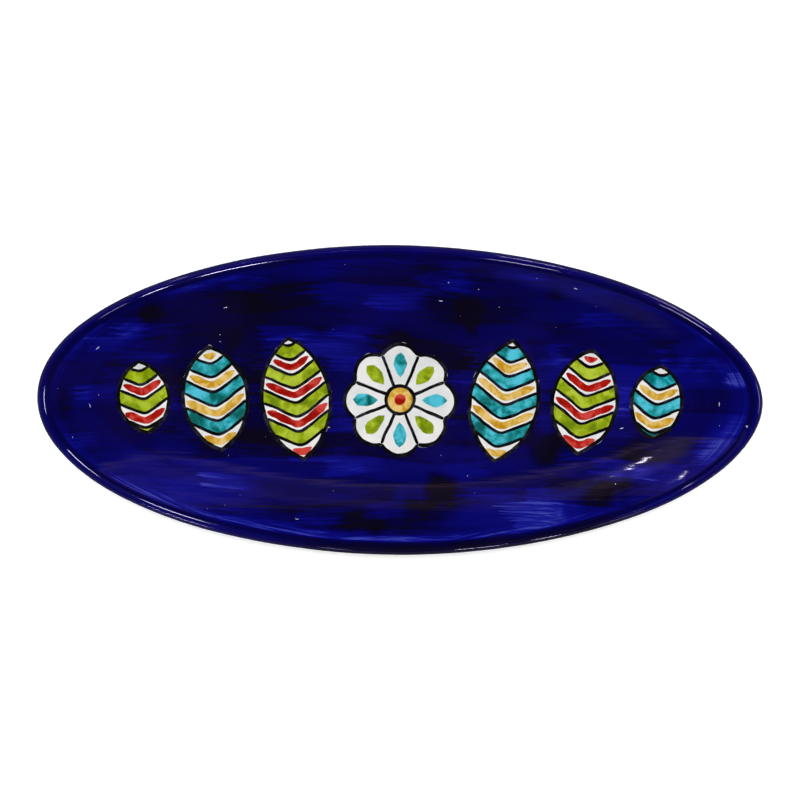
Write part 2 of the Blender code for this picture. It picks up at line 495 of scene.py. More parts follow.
@dataclass(frozen=True)
class PlateForm:
    """Shape of the oval plate, read off the CAD frame and the sizes that it was made with, in metres."""

    half_length: float
    half_width: float
    height: float
    foot_inset: float
    foot_height: float
    wall: float = 0.005
    floor_width: float = 0.055
    left_fullness: float = 2.0
    right_fullness: float = 1.91
    lip_proud_inside: float = 0.0010
    lip_proud_outside: float = 0.0004
    crest_softness: float = 0.22
    crease_width: float = 0.00002
    outer_shoulder: float = 0.0010
    shoulder_reach: float = math.radians(130)
    crest_crowding: float = 1.4
    coat: float = 0.0006
    seat_gap: float = 0.0003
    glaze_line_above_foot: float = 0.005
    lip_sway: float = 0.00035
    sway_reach: float = 0.030

    @classmethod
    def from_frame(cls) -> "PlateForm":
        """Reads the main sizes off the CAD nodes.

        Returns:
            The form.
        """
        _, coat_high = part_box("cobalt_coat")
        _, foot_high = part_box("foot_ring")
        base_low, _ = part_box("base_coat")
        return cls(
            half_length=coat_high.x,
            half_width=coat_high.y,
            height=coat_high.z,
            foot_inset=coat_high.y - foot_high.y,
            foot_height=base_low.z,
        )

    @property
    def floor_inset(self) -> float:
        """Distance from the oval's edge to where the flat floor starts."""
        return self.half_width - self.floor_width / 2

    @property
    def floor_top(self) -> float:
        """Height of the glazed floor."""
        return self.foot_height + self.wall

    @property
    def clay_depth(self) -> float:
        """Distance from the glaze's surface to the clay."""
        return self.coat + self.seat_gap

    @property
    def lip_radius(self) -> float:
        """Radius of the rolled lip."""
        return (self.wall + self.lip_proud_inside + self.lip_proud_outside) / 2

    @property
    def lip_out(self) -> float:
        """Distance from the floor's edge out to the middle of the lip."""
        return self.floor_inset - self.lip_radius

    @property
    def lip_height(self) -> float:
        """Height of the middle of the lip."""
        return self.height - self.lip_radius

    @property
    def lip_sink(self) -> float:
        """Distance from the coupe's face to the middle of the lip."""
        return self.lip_radius - self.lip_proud_inside

    @property
    def coupe_radius(self) -> float:
        """Radius of the arc that the wall's inside follows."""
        rise = self.lip_height - self.floor_top
        return (self.lip_out**2 + rise**2 - self.lip_sink**2) / (2 * (rise + self.lip_sink))

    @property
    def coupe_centre(self) -> float:
        """Height of the middle of that arc."""
        return self.floor_top + self.coupe_radius

    @property
    def glaze_line(self) -> float:
        """Distance from the oval's edge to where the cobalt glaze ends underneath."""
        return self.foot_inset - self.glaze_line_above_foot

    @property
    def face_run(self) -> float:
        """Length of the section from the middle of the floor to the foot of the lip."""
        outward, _ = self.lip_contact(self.coupe_radius, self.lip_radius)
        return self.floor_width / 2 + self.coupe_radius * math.asin(outward / self.coupe_radius)

    def arc_height(self, inset: float, radius: float) -> float:
        """Height of an arc round the coupe's middle at an inset, level over the flat floor."""
        outward = max(0.0, self.floor_inset - inset)
        return self.coupe_centre - math.sqrt(radius**2 - outward**2)

    def lip_contact(self, arc_radius: float, bead_radius: float) -> tuple[float, float]:
        """Point where an arc round the coupe's middle meets the lip.

        Args:
            arc_radius: Radius of the arc.
            bead_radius: Radius of the lip at the same depth.

        Returns:
            Distance out from the floor's edge, and height.
        """
        reach = self.coupe_radius + self.lip_sink
        turn = math.atan2(self.lip_out, self.coupe_centre - self.lip_height)
        opening = math.acos((reach**2 + arc_radius**2 - bead_radius**2) / (2 * reach * arc_radius))
        angle = turn - opening
        return arc_radius * math.sin(angle), self.coupe_centre - arc_radius * math.cos(angle)

    def sway(self, inset: float, height: float) -> Station:
        """Station at an inset and a height, which sways more the nearer it is to the lip."""
        near = max(0.0, 1 - inset / self.sway_reach) ** 2
        return Station(inset, height, self.lip_sway * near, self.lip_sway * near)

    def ridge(self, share: float) -> float:
        """Fall of a ridge with a soft crest, at a share of the way down its side."""
        return math.hypot(self.crest_softness, share) - self.crest_softness

    def lip_point(self, tilt: float, face_tilt: float, bead: float) -> tuple[float, float]:
        """Point of the lip, a round bead whose shoulders are drawn down so that its crest is a soft ridge.

        Args:
            tilt: How far round the bead the point lies, from the crest outwards.
            face_tilt: Where the bead meets the face.
            bead: Radius of the bead.

        Returns:
            Inset from the plate's edge and height.
        """
        if tilt < 0:
            fall = self.ridge(math.sin(tilt) / math.sin(face_tilt)) / self.ridge(1.0)
            rise = bead - bead * (1 - math.cos(face_tilt)) * fall
        else:
            share = min(tilt / self.shoulder_reach, 1.0)
            rise = bead * math.cos(tilt) - self.outer_shoulder * math.sin(math.pi * share) ** 2
        return self.lip_radius - bead * math.sin(tilt), self.lip_height + rise

    def skin(self, depth: float, last_inset: float, fine: Fineness) -> list[Station]:
        """Section from the middle of the floor up the face, over the lip and down the outside.

        Args:
            depth: Distance below the glaze's surface.
            last_inset: Where the section ends underneath.
            fine: Number of facets along each stretch.

        Returns:
            The stations in order.
        """
        face_radius = self.coupe_radius + depth
        wall_radius = self.coupe_radius + self.wall - depth
        bead = self.lip_radius - depth
        face_out, face_up = self.lip_contact(face_radius, bead)
        wall_out, wall_up = self.lip_contact(wall_radius, bead)
        floor = spread(self.half_width, self.floor_inset, fine.floor)[:-1]
        lip_foot = self.floor_inset - face_out
        face = spread(self.floor_inset, lip_foot + self.crease_width, fine.face) + [lip_foot]
        face_tilt = math.atan2(face_out - self.lip_out, face_up - self.lip_height)
        wall_tilt = math.atan2(wall_out - self.lip_out, wall_up - self.lip_height)
        wall = spread(self.floor_inset - wall_out, last_inset, fine.wall)
        shares = spread(0.0, 1.0, fine.lip)
        tilts = [math.asin(math.sin(face_tilt) * (1 - self.crease_width / bead))]
        tilts += [tilts[0] * (1 - share) ** self.crest_crowding for share in shares[1:]]
        tilts += [wall_tilt * share**self.crest_crowding for share in shares[1:-1]]
        points = [(inset, self.arc_height(inset, face_radius)) for inset in floor + face]
        points += [self.lip_point(tilt, face_tilt, bead) for tilt in tilts]
        points += [(inset, self.arc_height(inset, wall_radius)) for inset in wall]
        return [self.sway(inset, height) for inset, height in points]


class OvalTurning:
    """Geometry tree that carries a section round the plate's oval."""

    oval_points = 1440
    merge_distance = 4e-6
    sway_size = 0.06
    sway_seed = 3.7
    sway_fade = Fade(0.25, 0.75)

    def __init__(self, form: PlateForm) -> None:
        """Takes the plate's form and draws the tree."""
        self.form = form
        self.tree = self.draw_tree()

    def draw_tree(self) -> bpy.types.NodeTree:
        """Draws the tree: a grid whose rows follow the section and whose columns follow the oval.

        Returns:
            The tree.
        """
        inputs = {
            "Half Length": self.form.half_length,
            "Half Width": self.form.half_width,
            "Left Fullness": self.form.left_fullness,
            "Right Fullness": self.form.right_fullness,
            "Even Inset": self.form.sway_reach,
            "Steps": 360,
            "Sway Size": self.sway_size,
            "Seed": self.sway_seed,
            "Material": "Material",
        }
        sketch = GeometrySketch("oval_turning", inputs)
        section = sketch.given["Geometry"]
        steps = sketch.given["Steps"]
        stations = sketch.value("GeometryNodeAttributeDomainSize", {0: section}, "Point Count")
        columns = self.whole(sketch, "ADD", steps, 1)
        grid = sketch.value("GeometryNodeMeshGrid", {"Vertices X": columns, "Vertices Y": stations}, "Mesh")
        index = sketch.value("GeometryNodeInputIndex")
        column = self.whole(sketch, "DIVIDE_FLOOR", index, stations)
        row = self.whole(sketch, "MODULO", index, stations)
        turn = self.whole(sketch, "MODULO", column, steps)

        place = sketch.position
        sway = sketch.attribute("sway", "FLOAT_VECTOR")
        round_x, round_y, _ = self.sample(sketch, self.draw_oval(sketch), place, turn).split()
        inset, run, height = self.sample(sketch, section, place, row).split()
        sway_in, _, sway_down = self.sample(sketch, section, sway, row).split()
        grain = 1.0 / sketch.given["Sway Size"]
        clouds = sketch.noise(sketch.combine(round_x, round_y), grain, seed=sketch.given["Seed"])
        shift = self.sway_fade.of(clouds)
        inset = sway_in * shift + inset
        height = height - sway_down * shift
        sides = []
        for side, half in ((round_x, sketch.given["Half Length"]), (round_y, sketch.given["Half Width"])):
            wanted = sketch.math("MAXIMUM", half - inset, 0.0)
            sides.append(side * (wanted / (half - sketch.given["Even Inset"])))

        keep = sketch.node("GeometryNodeCaptureAttribute", {0: grid})
        keep.capture_items.new("VECTOR", "Map")
        sketch.feed(keep.inputs[1], sketch.combine(column / steps, run))
        kept = sketch.fields(keep)
        shaped = sketch.moved(kept["Geometry"], sketch.combine(*sides, height))
        inputs = {"Geometry": shaped, "Name": UV_NAME, "Value": kept["Map"]}
        mapped = sketch.value("GeometryNodeStoreNamedAttribute", inputs, data_type="FLOAT2", domain="CORNER")
        return sketch.finish(sketch.merged(mapped, self.merge_distance))

    def draw_oval(self, sketch: GeometrySketch) -> Field:
        """Adds the oval that the columns follow, with its points evenly spaced.

        Args:
            sketch: The tree's sketch.

        Returns:
            The oval curve.
        """
        given = sketch.given
        inputs = {"Resolution": self.oval_points, "Radius": 1.0}
        circle = sketch.value("GeometryNodeCurvePrimitiveCircle", inputs)
        x, y, _ = sketch.position.split()
        is_left = sketch.math("LESS_THAN", x, 0.0)
        power = 2.0 / sketch.blend(is_left, given["Right Fullness"], given["Left Fullness"])
        sides = []
        for side, half in ((x, given["Half Length"]), (y, given["Half Width"])):
            bulge = sketch.math("POWER", abs(side), power) * sketch.math("SIGN", side)
            sides.append(bulge * (half - given["Even Inset"]))
        inputs = {"Curve": sketch.moved(circle, sketch.combine(*sides)), "Count": given["Steps"]}
        return sketch.value("GeometryNodeResampleCurve", inputs, mode="COUNT")

    @staticmethod
    def whole(sketch: GeometrySketch, operation: str, first: Any, second: Any) -> Field:
        """Adds a sum on whole numbers."""
        return sketch.value("FunctionNodeIntegerMath", {0: first, 1: second}, operation=operation)

    @staticmethod
    def sample(sketch: GeometrySketch, geometry: Field, value: Field, index: Field) -> Field:
        """Adds a reading of one point's vector."""
        inputs = {"Geometry": geometry, "Value": value, "Index": index}
        return sketch.value("GeometryNodeSampleIndex", inputs, data_type="FLOAT_VECTOR")

    def turn(
        self,
        name: str,
        section: Sequence[Station],
        material: bpy.types.Material,
        steps: int,
        closed: bool = False,
        sharp_angle: float = SHARP_ANGLE,
    ) -> bpy.types.Object:
        """Carries a section round the oval.

        Args:
            name: Name of the piece.
            section: Stations in order.
            material: Material of the piece.
            steps: Number of facets round the oval.
            closed: Whether the last station joins the first.
            sharp_angle: Edges sharper than this, in degrees, stay sharp in the shading.

        Returns:
            The piece.
        """
        stations = [*section, section[0]] if closed else list(section)
        run = 0.0
        before = stations[0]
        points = []
        for station in stations:
            run += math.hypot(station.inset - before.inset, station.height - before.height)
            points.append((station.inset, run, station.height))
            before = station
        base = bpy.data.meshes.new(f"{name}_section")
        base.from_pydata(points, [(i, i + 1) for i in range(len(points) - 1)], [])
        sway = base.attributes.new("sway", "FLOAT_VECTOR", "POINT")
        for item, station in zip(sway.data, stations):
            item.vector = (station.sway_in, 0.0, station.sway_down)
        mesh = run_tree(name, base, self.tree, {"Steps": steps, "Material": material})
        return make_piece(name, [mesh], sharp_angle)


class ShaderEffects:
    """The node groups that the finishes share. Grains are counted in one metre."""

    ripple_grain = 70.0
    peel_grain = 420.0
    sway_grain = 10.0
    sway_lanes = 2.2
    hair_grain = 34.0
    hair_squeeze = 24.0
    ragged_ends = 0.8
    dark_side = Fade(0.0, 0.14, 1.0, 0.0)
    dark_start = Fade(0.0, 0.10, 1.0, 0.0)
    pool_bend = (0.008, 0.008, 0.0)
    pool_range = (0.30, 0.70)

    def __init__(self) -> None:
        """Draws the groups."""
        self.glaze_skin = self.draw_glaze_skin()
        self.brush_strokes = self.draw_brush_strokes()
        self.paint_pool = self.draw_paint_pool()

    def draw_glaze_skin(self) -> bpy.types.NodeTree:
        """Draws the skin of a fired glaze: soft ripples and orange peel.

        Returns:
            The group, which gives the skin's height in millimetres.
        """
        inputs = {"Position": "Vector", "Ripple": 0.02, "Peel": 0.004}
        sketch = GroupSketch("glaze_skin", inputs, {"Height": "Float"})
        place = sketch.given["Position"]
        ripples = sketch.noise(place, self.ripple_grain, detail=1.0, seed=1.3)
        peel = sketch.noise(place, self.peel_grain, seed=5.1)
        return sketch.close(Height=peel * sketch.given["Peel"] + ripples * sketch.given["Ripple"])

    def draw_brush_strokes(self) -> bpy.types.NodeTree:
        """Draws the field of strokes that a flat brush leaves.

        Returns:
            The group, which gives each stroke's tone, its streaks, its darker edges and the share along it.
        """
        inputs = {
            "Map": "Vector",
            "Position": "Vector",
            "Strokes": 8.0,
            "Width": 0.017,
            "Ring": 0.13,
            "Soft Ends": 0.35,
            "Soft Sides": 0.35,
            "Seed": 0.0,
        }
        outputs = dict.fromkeys(("Tone", "Streak", "Edge", "Share"), "Float")
        sketch = GroupSketch("brush_strokes", inputs, outputs)
        given = sketch.given
        around, across, _ = given["Map"].split()
        seed = given["Seed"]
        count = given["Strokes"]
        sway = sketch.noise(given["Position"], self.sway_grain, detail=1.0, seed=seed, output=1)
        sway_across, sway_along, _ = (sway - MIDDLE_GREY).split()
        lane = sway_across * self.sway_lanes + across / given["Width"] + seed

        angle = around * (2 * math.pi)
        ring_x, ring_y = (sketch.math(wave, angle) * given["Ring"] for wave in ("COSINE", "SINE"))
        hairs = sketch.combine(ring_x, ring_y, lane * (given["Width"] * self.hair_squeeze))
        streak = sketch.noise(hairs, self.hair_grain, detail=3.0, rough=0.62, seed=seed)
        ragged = sway_along * self.ragged_ends + (streak - 0.5)

        def pick(*cell: Field) -> Field:
            """Picks one random value for a cell."""
            return sketch.value("ShaderNodeTexWhiteNoise", {"Vector": sketch.combine(*cell)}, "Value")

        def row_tone(row: Field) -> tuple[Field, Field]:
            """Gives a row's tone, which changes softly from stroke to stroke.

            Args:
                row: Number of the row.

            Returns:
                The tone, and the share of the way along the stroke.
            """
            along = (around + pick(row, seed)) * count + ragged
            along = sketch.math("FLOORED_MODULO", along, count)
            stroke = sketch.math("FLOOR", along)
            after = sketch.math("FLOORED_MODULO", stroke + 1.0, count)
            share = sketch.math("FRACT", along)
            change = sketch.remap(share, 1.0 - given["Soft Ends"], 1.0)
            return sketch.blend(change, pick(row, stroke, seed), pick(row, after, seed)), share

        row = sketch.math("FLOOR", lane)
        side = sketch.math("FRACT", lane)
        tone, share = row_tone(row)
        tone_beside, _ = row_tone(row + 1.0)
        change = sketch.remap(side, 1.0 - given["Soft Sides"], 1.0)
        from_side = sketch.math("MINIMUM", side, 1.0 - side)
        return sketch.close(
            Tone=sketch.blend(change, tone, tone_beside),
            Streak=streak,
            Edge=sketch.math("MAXIMUM", self.dark_side.of(from_side), self.dark_start.of(share)),
            Share=share,
        )

    def draw_paint_pool(self) -> bpy.types.NodeTree:
        """Draws the pooling of thin paint: where it gathered and where it was wiped thin.

        Returns:
            The group, which gives how thick the paint lies, from 0 to 1.
        """
        inputs = {"Position": "Vector", "Size": 0.008, "Contrast": 0.5, "Seed": 0.0}
        sketch = GroupSketch("paint_pool", inputs, {"Thickness": "Float"})
        given = sketch.given
        place = given["Position"]
        grain = 1.0 / given["Size"]
        warp = sketch.noise(place, grain, detail=1.0, seed=given["Seed"], output=1)
        bent = place + (warp - MIDDLE_GREY) * self.pool_bend
        pools = sketch.noise(bent, grain, detail=4.0, rough=0.6, seed=given["Seed"] + 4.0)
        half = given["Contrast"] * 0.5
        return sketch.close(Thickness=sketch.remap(pools, *self.pool_range, 0.5 - half, half + 0.5))


class MaterialSketch(NodeSketch):
    """Sketch of a material with one surface shader, beside the effects that the finishes share."""

    bump_unit = 0.001
    refraction = 1.5

    def __init__(self, name: str, effects: ShaderEffects) -> None:
        """Starts the material.

        Args:
            name: Name of the material.
            effects: The shared node groups.
        """
        self.material = bpy.data.materials.new(name)
        self.material.use_nodes = True
        super().__init__(self.material.node_tree)
        self.tree.nodes.clear()
        self.effects = effects
        self.shader = self.node("ShaderNodeBsdfPrincipled")
        self.node("ShaderNodeOutputMaterial", {"Surface": self.shader.outputs["BSDF"]})
        self.place = self.value("ShaderNodeTexCoord", output="Object")

    def skin(self, ripple: float, peel: float) -> Field:
        """Adds the skin of a glaze, as a height in millimetres."""
        inputs = {"Position": self.place, "Ripple": ripple, "Peel": peel}
        return self.use(self.effects.glaze_skin, inputs)["Height"]

    def pools(self, size: float, contrast: float, seed: float) -> Field:
        """Adds pools of paint, as a thickness from 0 to 1."""
        inputs = {"Position": self.place, "Size": size, "Contrast": contrast, "Seed": seed}
        return self.use(self.effects.paint_pool, inputs)["Thickness"]

    def surface(self, colour: Field, height: Field, roughness: float) -> None:
        """Feeds the surface shader.

        Args:
            colour: Base colour.
            height: Height of the skin in millimetres.
            roughness: Roughness of the gloss.
        """
        inputs = {"Strength": 1.0, "Distance": self.bump_unit, "Height": height}
        normal = self.value("ShaderNodeBump", inputs, "Normal")
        inputs = {"Base Color": colour, "Normal": normal, "Roughness": roughness, "IOR": self.refraction}
        self.fill(self.shader, inputs)


class Finish:
    """A finish that makes one material from the shared effects."""

    name: str

    def make(self, effects: ShaderEffects) -> bpy.types.Material:
        """Makes the material.

        Args:
            effects: The shared node groups.

        Returns:
            The material.
        """
        sketch = MaterialSketch(self.name, effects)
        self.draw(sketch)
        return sketch.material

    def draw(self, sketch: MaterialSketch) -> None:
        """Draws the nodes that feed the surface shader."""
        raise NotImplementedError


@dataclass(frozen=True)
class BrushLayer:
    """One layer of strokes of a flat brush, in metres and in strokes for one way round the plate."""

    width: float
    strokes: float
    soft_ends: float
    soft_sides: float
    seed: float


@dataclass(frozen=True)
class FrontPart:
    """A part of the plate's front with soft edges, in metres: its middle, depth and reach to the sides."""

    middle: float
    depth: Fade
    reach: Fade

    def of(self, place: Field) -> Field:
        """Mask of the part, from 0 to 1."""
        along, ahead, _ = place.split()
        return self.depth.of(ahead) * self.reach.of(abs(along - self.middle))


@dataclass(frozen=True)
class CobaltFinish(Finish):
    """Glossy cobalt glaze, laid with a flat brush: first round the rim, then along the plate.

    Tones run from 0 for thick glaze to 1 for thin glaze, and sizes are in metres.
    """

    face_run: float
    name: str = "cobalt_glaze"
    roughness: float = 0.055
    way_round: float = 0.93
    ring: float = 0.13
    round_rim: BrushLayer = BrushLayer(0.019, 9.0, 0.40, 0.30, 2.6)
    lengthwise: BrushLayer = BrushLayer(0.0135, 17.0, 0.08, 0.12, 7.4)
    touches: BrushLayer = BrushLayer(0.0085, 25.0, 0.06, 0.10, 4.9)
    rim_share: float = 0.36
    row_share: float = 0.38
    hair_share: float = 0.22
    wash: Clouds = Clouds(8.0, 1.4, Fade(0.30, 0.70, -0.12, 0.16), detail=1.0)
    pools: Clouds = Clouds(32.0, 3.1, Fade(0.54, 0.74, 0.0, 0.56))
    # Painted light: the glaze tone rises towards the front, so the front looks lighter and the back darker,
    # as light from the back would show them.
    front_gain: float = 0.7
    edge_depth: float = 0.05
    thinnest: float = 0.74
    dry_tones: Fade = Fade(0.60, 0.80, 0.0, 0.66)
    dry_trail: Fade = Fade(-0.02, 0.26)
    trail_loss: float = 0.55
    wisps: Gain = Gain(1.3, -0.30)
    thin_below_lip: float = 0.008
    thin_patches: Clouds = Clouds(15.0, 2.2, Fade(0.42, 0.66, 0.0, 0.34))
    thin_streaks: Gain = Gain(1.8, -0.2)
    last_stroke: Gain = Gain(2.4, -0.34)
    last_stroke_band: Fade = Fade(-0.008, -0.003)
    # Painted reflection: the lighter band below the lip is made stronger at the front left, standing in for
    # light mirrored there; elsewhere it is the brush's last stroke.
    last_stroke_front: FrontPart = FrontPart(-0.060, Fade(-0.030, -0.055), Fade(0.09, 0.13, 1.0, 0.0))
    last_stroke_share: Gain = Gain(0.50, 0.35)
    lip_band: float = 0.002
    lip_clouds: Clouds = Clouds(60.0, 6.2, Gain(0.35))
    drained_lip: Fade = Fade(0.0, 0.004, 0.12, 0.30)
    # Painted shade: at the front the lip's tone falls below the drained one, standing in for the dark room
    # mirrored there.
    shaded_lip: Fade = Fade(0.0, 0.006, 0.04, -0.26)
    shaded_front: FrontPart = FrontPart(0.050, Fade(-0.050, -0.078), Fade(0.06, 0.14, 1.0, 0.0))
    outside: Fade = Fade(0.009, 0.013)
    outside_tones: float = 0.34
    outside_streaks: Gain = Gain(0.30, -0.30)
    blues: tuple[tuple[float, Screen], ...] = (
        (0.0, (11, 7, 24)),
        (0.16, (7, 4, 50)),
        (0.34, (7, 5, 76)),
        (0.54, (8, 7, 102)),
        (0.72, (12, 13, 126)),
        (0.86, (25, 29, 148)),
        (1.0, (58, 66, 170)),
    )
    violet: Screen = (23, 14, 80)
    violet_clouds: Clouds = Clouds(19.0, 5.6, Fade(0.48, 0.72, 0.0, 0.30))
    # Painted reflection: a violet tint on the lip's outer side stands in for the room mirrored there.
    violet_lip: Fade = Fade(0.003, 0.006, 0.0, 0.30)
    worn_spot: tuple[float, float, float] = (0.1735, -0.0402, 0.0285)
    worn_fray: Clouds = Clouds(900.0, 1.9, Gain(0.0016))
    worn_softness: float = 0.0006
    worn_rings: tuple[tuple[float, Screen], ...] = ((0.0024, (96, 58, 46)), (0.0017, (226, 196, 190)))
    ripple_width: float = 0.0030
    ripple_stretch: float = 0.06
    ripple_height: float = 0.08
    hair_height: float = 0.009

    def strokes(self, sketch: MaterialSketch, chart: Field, layer: BrushLayer) -> dict[str, Field]:
        """Adds a layer of strokes on a chart of the share of the way round and the distance across."""
        inputs = {"Map": chart, "Position": sketch.place, "Ring": self.ring, **named(asdict(layer))}
        return sketch.use(sketch.effects.brush_strokes, inputs)

    def draw(self, sketch: MaterialSketch) -> None:
        """Draws the strokes, a plain lip, one worn spot, painted light and shade, and a skin that follows the
        hairs of the brush.

        Args:
            sketch: The material's sketch.
        """
        chart = sketch.value("ShaderNodeUVMap", uv_map=UV_NAME)
        _, run, _ = chart.split()
        past = run - self.face_run
        along, ahead, _ = sketch.place.split()
        level = sketch.combine(along / self.way_round, ahead)
        rim = self.strokes(sketch, chart, self.round_rim)
        rows = self.strokes(sketch, level, self.lengthwise)
        touches = self.strokes(sketch, level, self.touches)
        hair = rim["Streak"] + rows["Streak"] - 1.0
        on_face = sketch.remap(past, -self.lip_band, 0.0, 1.0, 0.0)

        tone = rim["Tone"] * self.rim_share + rows["Tone"] * self.row_share
        # Painted light: taking the place ahead off the tone lightens the front and darkens the back.
        tone = tone + self.wash.of(sketch.place) - ahead * self.front_gain - rows["Edge"] * self.edge_depth
        tone = tone - self.pools.of(sketch.place) + hair * self.hair_share
        tone = sketch.math("MINIMUM", tone, self.thinnest)
        trail = touches["Streak"] - touches["Share"] * self.trail_loss
        dry = self.dry_tones.of(touches["Tone"]) * self.dry_trail.of(trail)
        tone = dry * self.wisps.of(touches["Streak"]) + tone
        tone = self.thin_rim(sketch, past, rim["Streak"], tone)
        tone = sketch.blend(on_face, self.lip_tone(sketch, past, rim), tone)

        stretched = sketch.combine(along * self.ripple_stretch, ahead)
        ripples = sketch.noise(stretched, 1 / self.ripple_width, detail=1.0, seed=9.2)
        ridges = hair * self.hair_height + ripples * self.ripple_height
        height = ridges * on_face + sketch.skin(ripple=0.025, peel=0.004)
        sketch.surface(self.colour(sketch, past, tone), height, self.roughness)

    def thin_rim(self, sketch: MaterialSketch, past: Field, streak: Field, tone: Field) -> Field:
        """Thins the glaze in a band below the lip, where the last stroke round the rim shows, and lightens
        the band more at the front left as a painted reflection.

        Args:
            sketch: The material's sketch.
            past: Distance past the foot of the lip.
            streak: Streaks of the strokes round the rim.
            tone: Tone of the face.

        Returns:
            The tone with the band.
        """
        band = sketch.remap(abs(past + self.thin_below_lip), 0.0, self.thin_below_lip, 1.0, 0.0)
        tone = band * self.thin_patches.of(sketch.place) * self.thin_streaks.of(streak) + tone
        # Brush stroke plus painted reflection: the band's share grows at the front left.
        stroke_and_sheen_weight = self.last_stroke_share.of(self.last_stroke_front.of(sketch.place))
        tone = sketch.blend(self.last_stroke_band.of(past) * stroke_and_sheen_weight, tone, self.last_stroke.of(streak))
        return sketch.math("MAXIMUM", tone, 0.0)

    def lip_tone(self, sketch: MaterialSketch, past: Field, rim: dict[str, Field]) -> Field:
        """Adds the plain tone of the lip, darkened at the front as painted shade, and broad strokes on the
        outside.

        Args:
            sketch: The material's sketch.
            past: Distance past the foot of the lip.
            rim: Strokes round the rim.

        Returns:
            The tone.
        """
        # Painted shade: the front of the lip takes the darker tone.
        front = self.shaded_front.of(sketch.place)
        tone = sketch.blend(front, self.drained_lip.of(past), self.shaded_lip.of(past))
        tone = self.lip_clouds.of(sketch.place) + tone
        broad = rim["Tone"] * self.outside_tones + self.outside_streaks.of(rim["Streak"])
        return sketch.math("MAXIMUM", self.outside.of(past) * broad + tone, 0.0)

    def colour(self, sketch: MaterialSketch, past: Field, tone: Field) -> Field:
        """Adds the colour of the glaze with violet clouds, a violet lip that is a painted reflection of the
        room, and one worn spot.

        Args:
            sketch: The material's sketch.
            past: Distance past the foot of the lip.
            tone: Tone of the glaze.

        Returns:
            The colour.
        """
        # The violet clouds are the glaze's own colour; the violet on the lip is a painted reflection.
        violet = self.violet_clouds.of(sketch.place) + self.violet_lip.of(past)
        colour = sketch.tint(violet, sketch.ramp(tone, self.blues), srgb(*self.violet))
        inputs = {0: sketch.place, 1: self.worn_spot}
        away = sketch.value("ShaderNodeVectorMath", inputs, "Value", operation="DISTANCE")
        away = away + self.worn_fray.of(sketch.place)
        for reach, wear in self.worn_rings:
            worn = sketch.remap(away, reach - self.worn_softness, reach, 1.0, 0.0)
            colour = sketch.tint(worn, colour, srgb(*wear))
        return colour


@dataclass(frozen=True)
class EnamelFinish(Finish):
    """Glossy painted enamel whose colour pools and thins."""

    name: str
    thin: Screen
    middle: Screen
    thick: Screen
    pool_size: float = 0.007
    contrast: float = 1.0
    seed: float = 0.0
    roughness: float = 0.10

    def draw(self, sketch: MaterialSketch) -> None:
        """Draws the pools and the glossy skin.

        Args:
            sketch: The material's sketch.
        """
        thickness = sketch.pools(self.pool_size, self.contrast, self.seed)
        colour = sketch.ramp(thickness, ((0.1, self.thin), (0.5, self.middle), (0.9, self.thick)))
        sketch.surface(colour, sketch.skin(ripple=0.03, peel=0.006), self.roughness)


@dataclass(frozen=True)
class ClayFinish(Finish):
    """Bare fired clay with grog, matte."""

    name: str = "earthenware"
    pale: Screen = (222, 190, 164)
    dark: Screen = (193, 150, 120)
    grog: Screen = (150, 104, 78)
    grog_grain: float = 900.0
    grog_fade: Fade = Fade(0.66, 0.74)
    grog_height: float = 0.12
    roughness: float = 0.82

    def draw(self, sketch: MaterialSketch) -> None:
        """Draws the clay's clouds, its grog and its dry grain.

        Args:
            sketch: The material's sketch.
        """
        clouds = sketch.pools(size=0.018, contrast=0.9, seed=2.0)
        clay = sketch.tint(clouds, srgb(*self.pale), srgb(*self.dark))
        grains = sketch.noise(sketch.place, self.grog_grain, seed=4.4)
        colour = sketch.tint(self.grog_fade.of(grains), clay, srgb(*self.grog))
        sketch.surface(colour, grains * self.grog_height, self.roughness)


class Paint(Enum):
    """The enamels of the painted band, each with its finish."""

    WHITE = EnamelFinish("white_enamel", (214, 216, 216), (227, 227, 225), (234, 233, 230), 0.02, 0.8, 1.0)
    LIME = EnamelFinish("lime_enamel", (175, 195, 48), (143, 165, 4), (100, 127, 0), 0.007, 1.0, 2.0)
    RED = EnamelFinish("red_enamel", (204, 64, 54), (172, 18, 8), (140, 4, 0), 0.006, 1.0, 3.0)
    TEAL = EnamelFinish("teal_enamel", (76, 191, 213), (24, 150, 158), (0, 90, 87), 0.008, 1.0, 4.0)
    OCHRE = EnamelFinish("ochre_enamel", (227, 193, 120), (212, 171, 62), (191, 137, 6), 0.006, 1.0, 5.0)
    BLACK = EnamelFinish("black_liner", (38, 36, 44), (16, 15, 19), (8, 8, 10), 0.006, 0.9, 6.0)


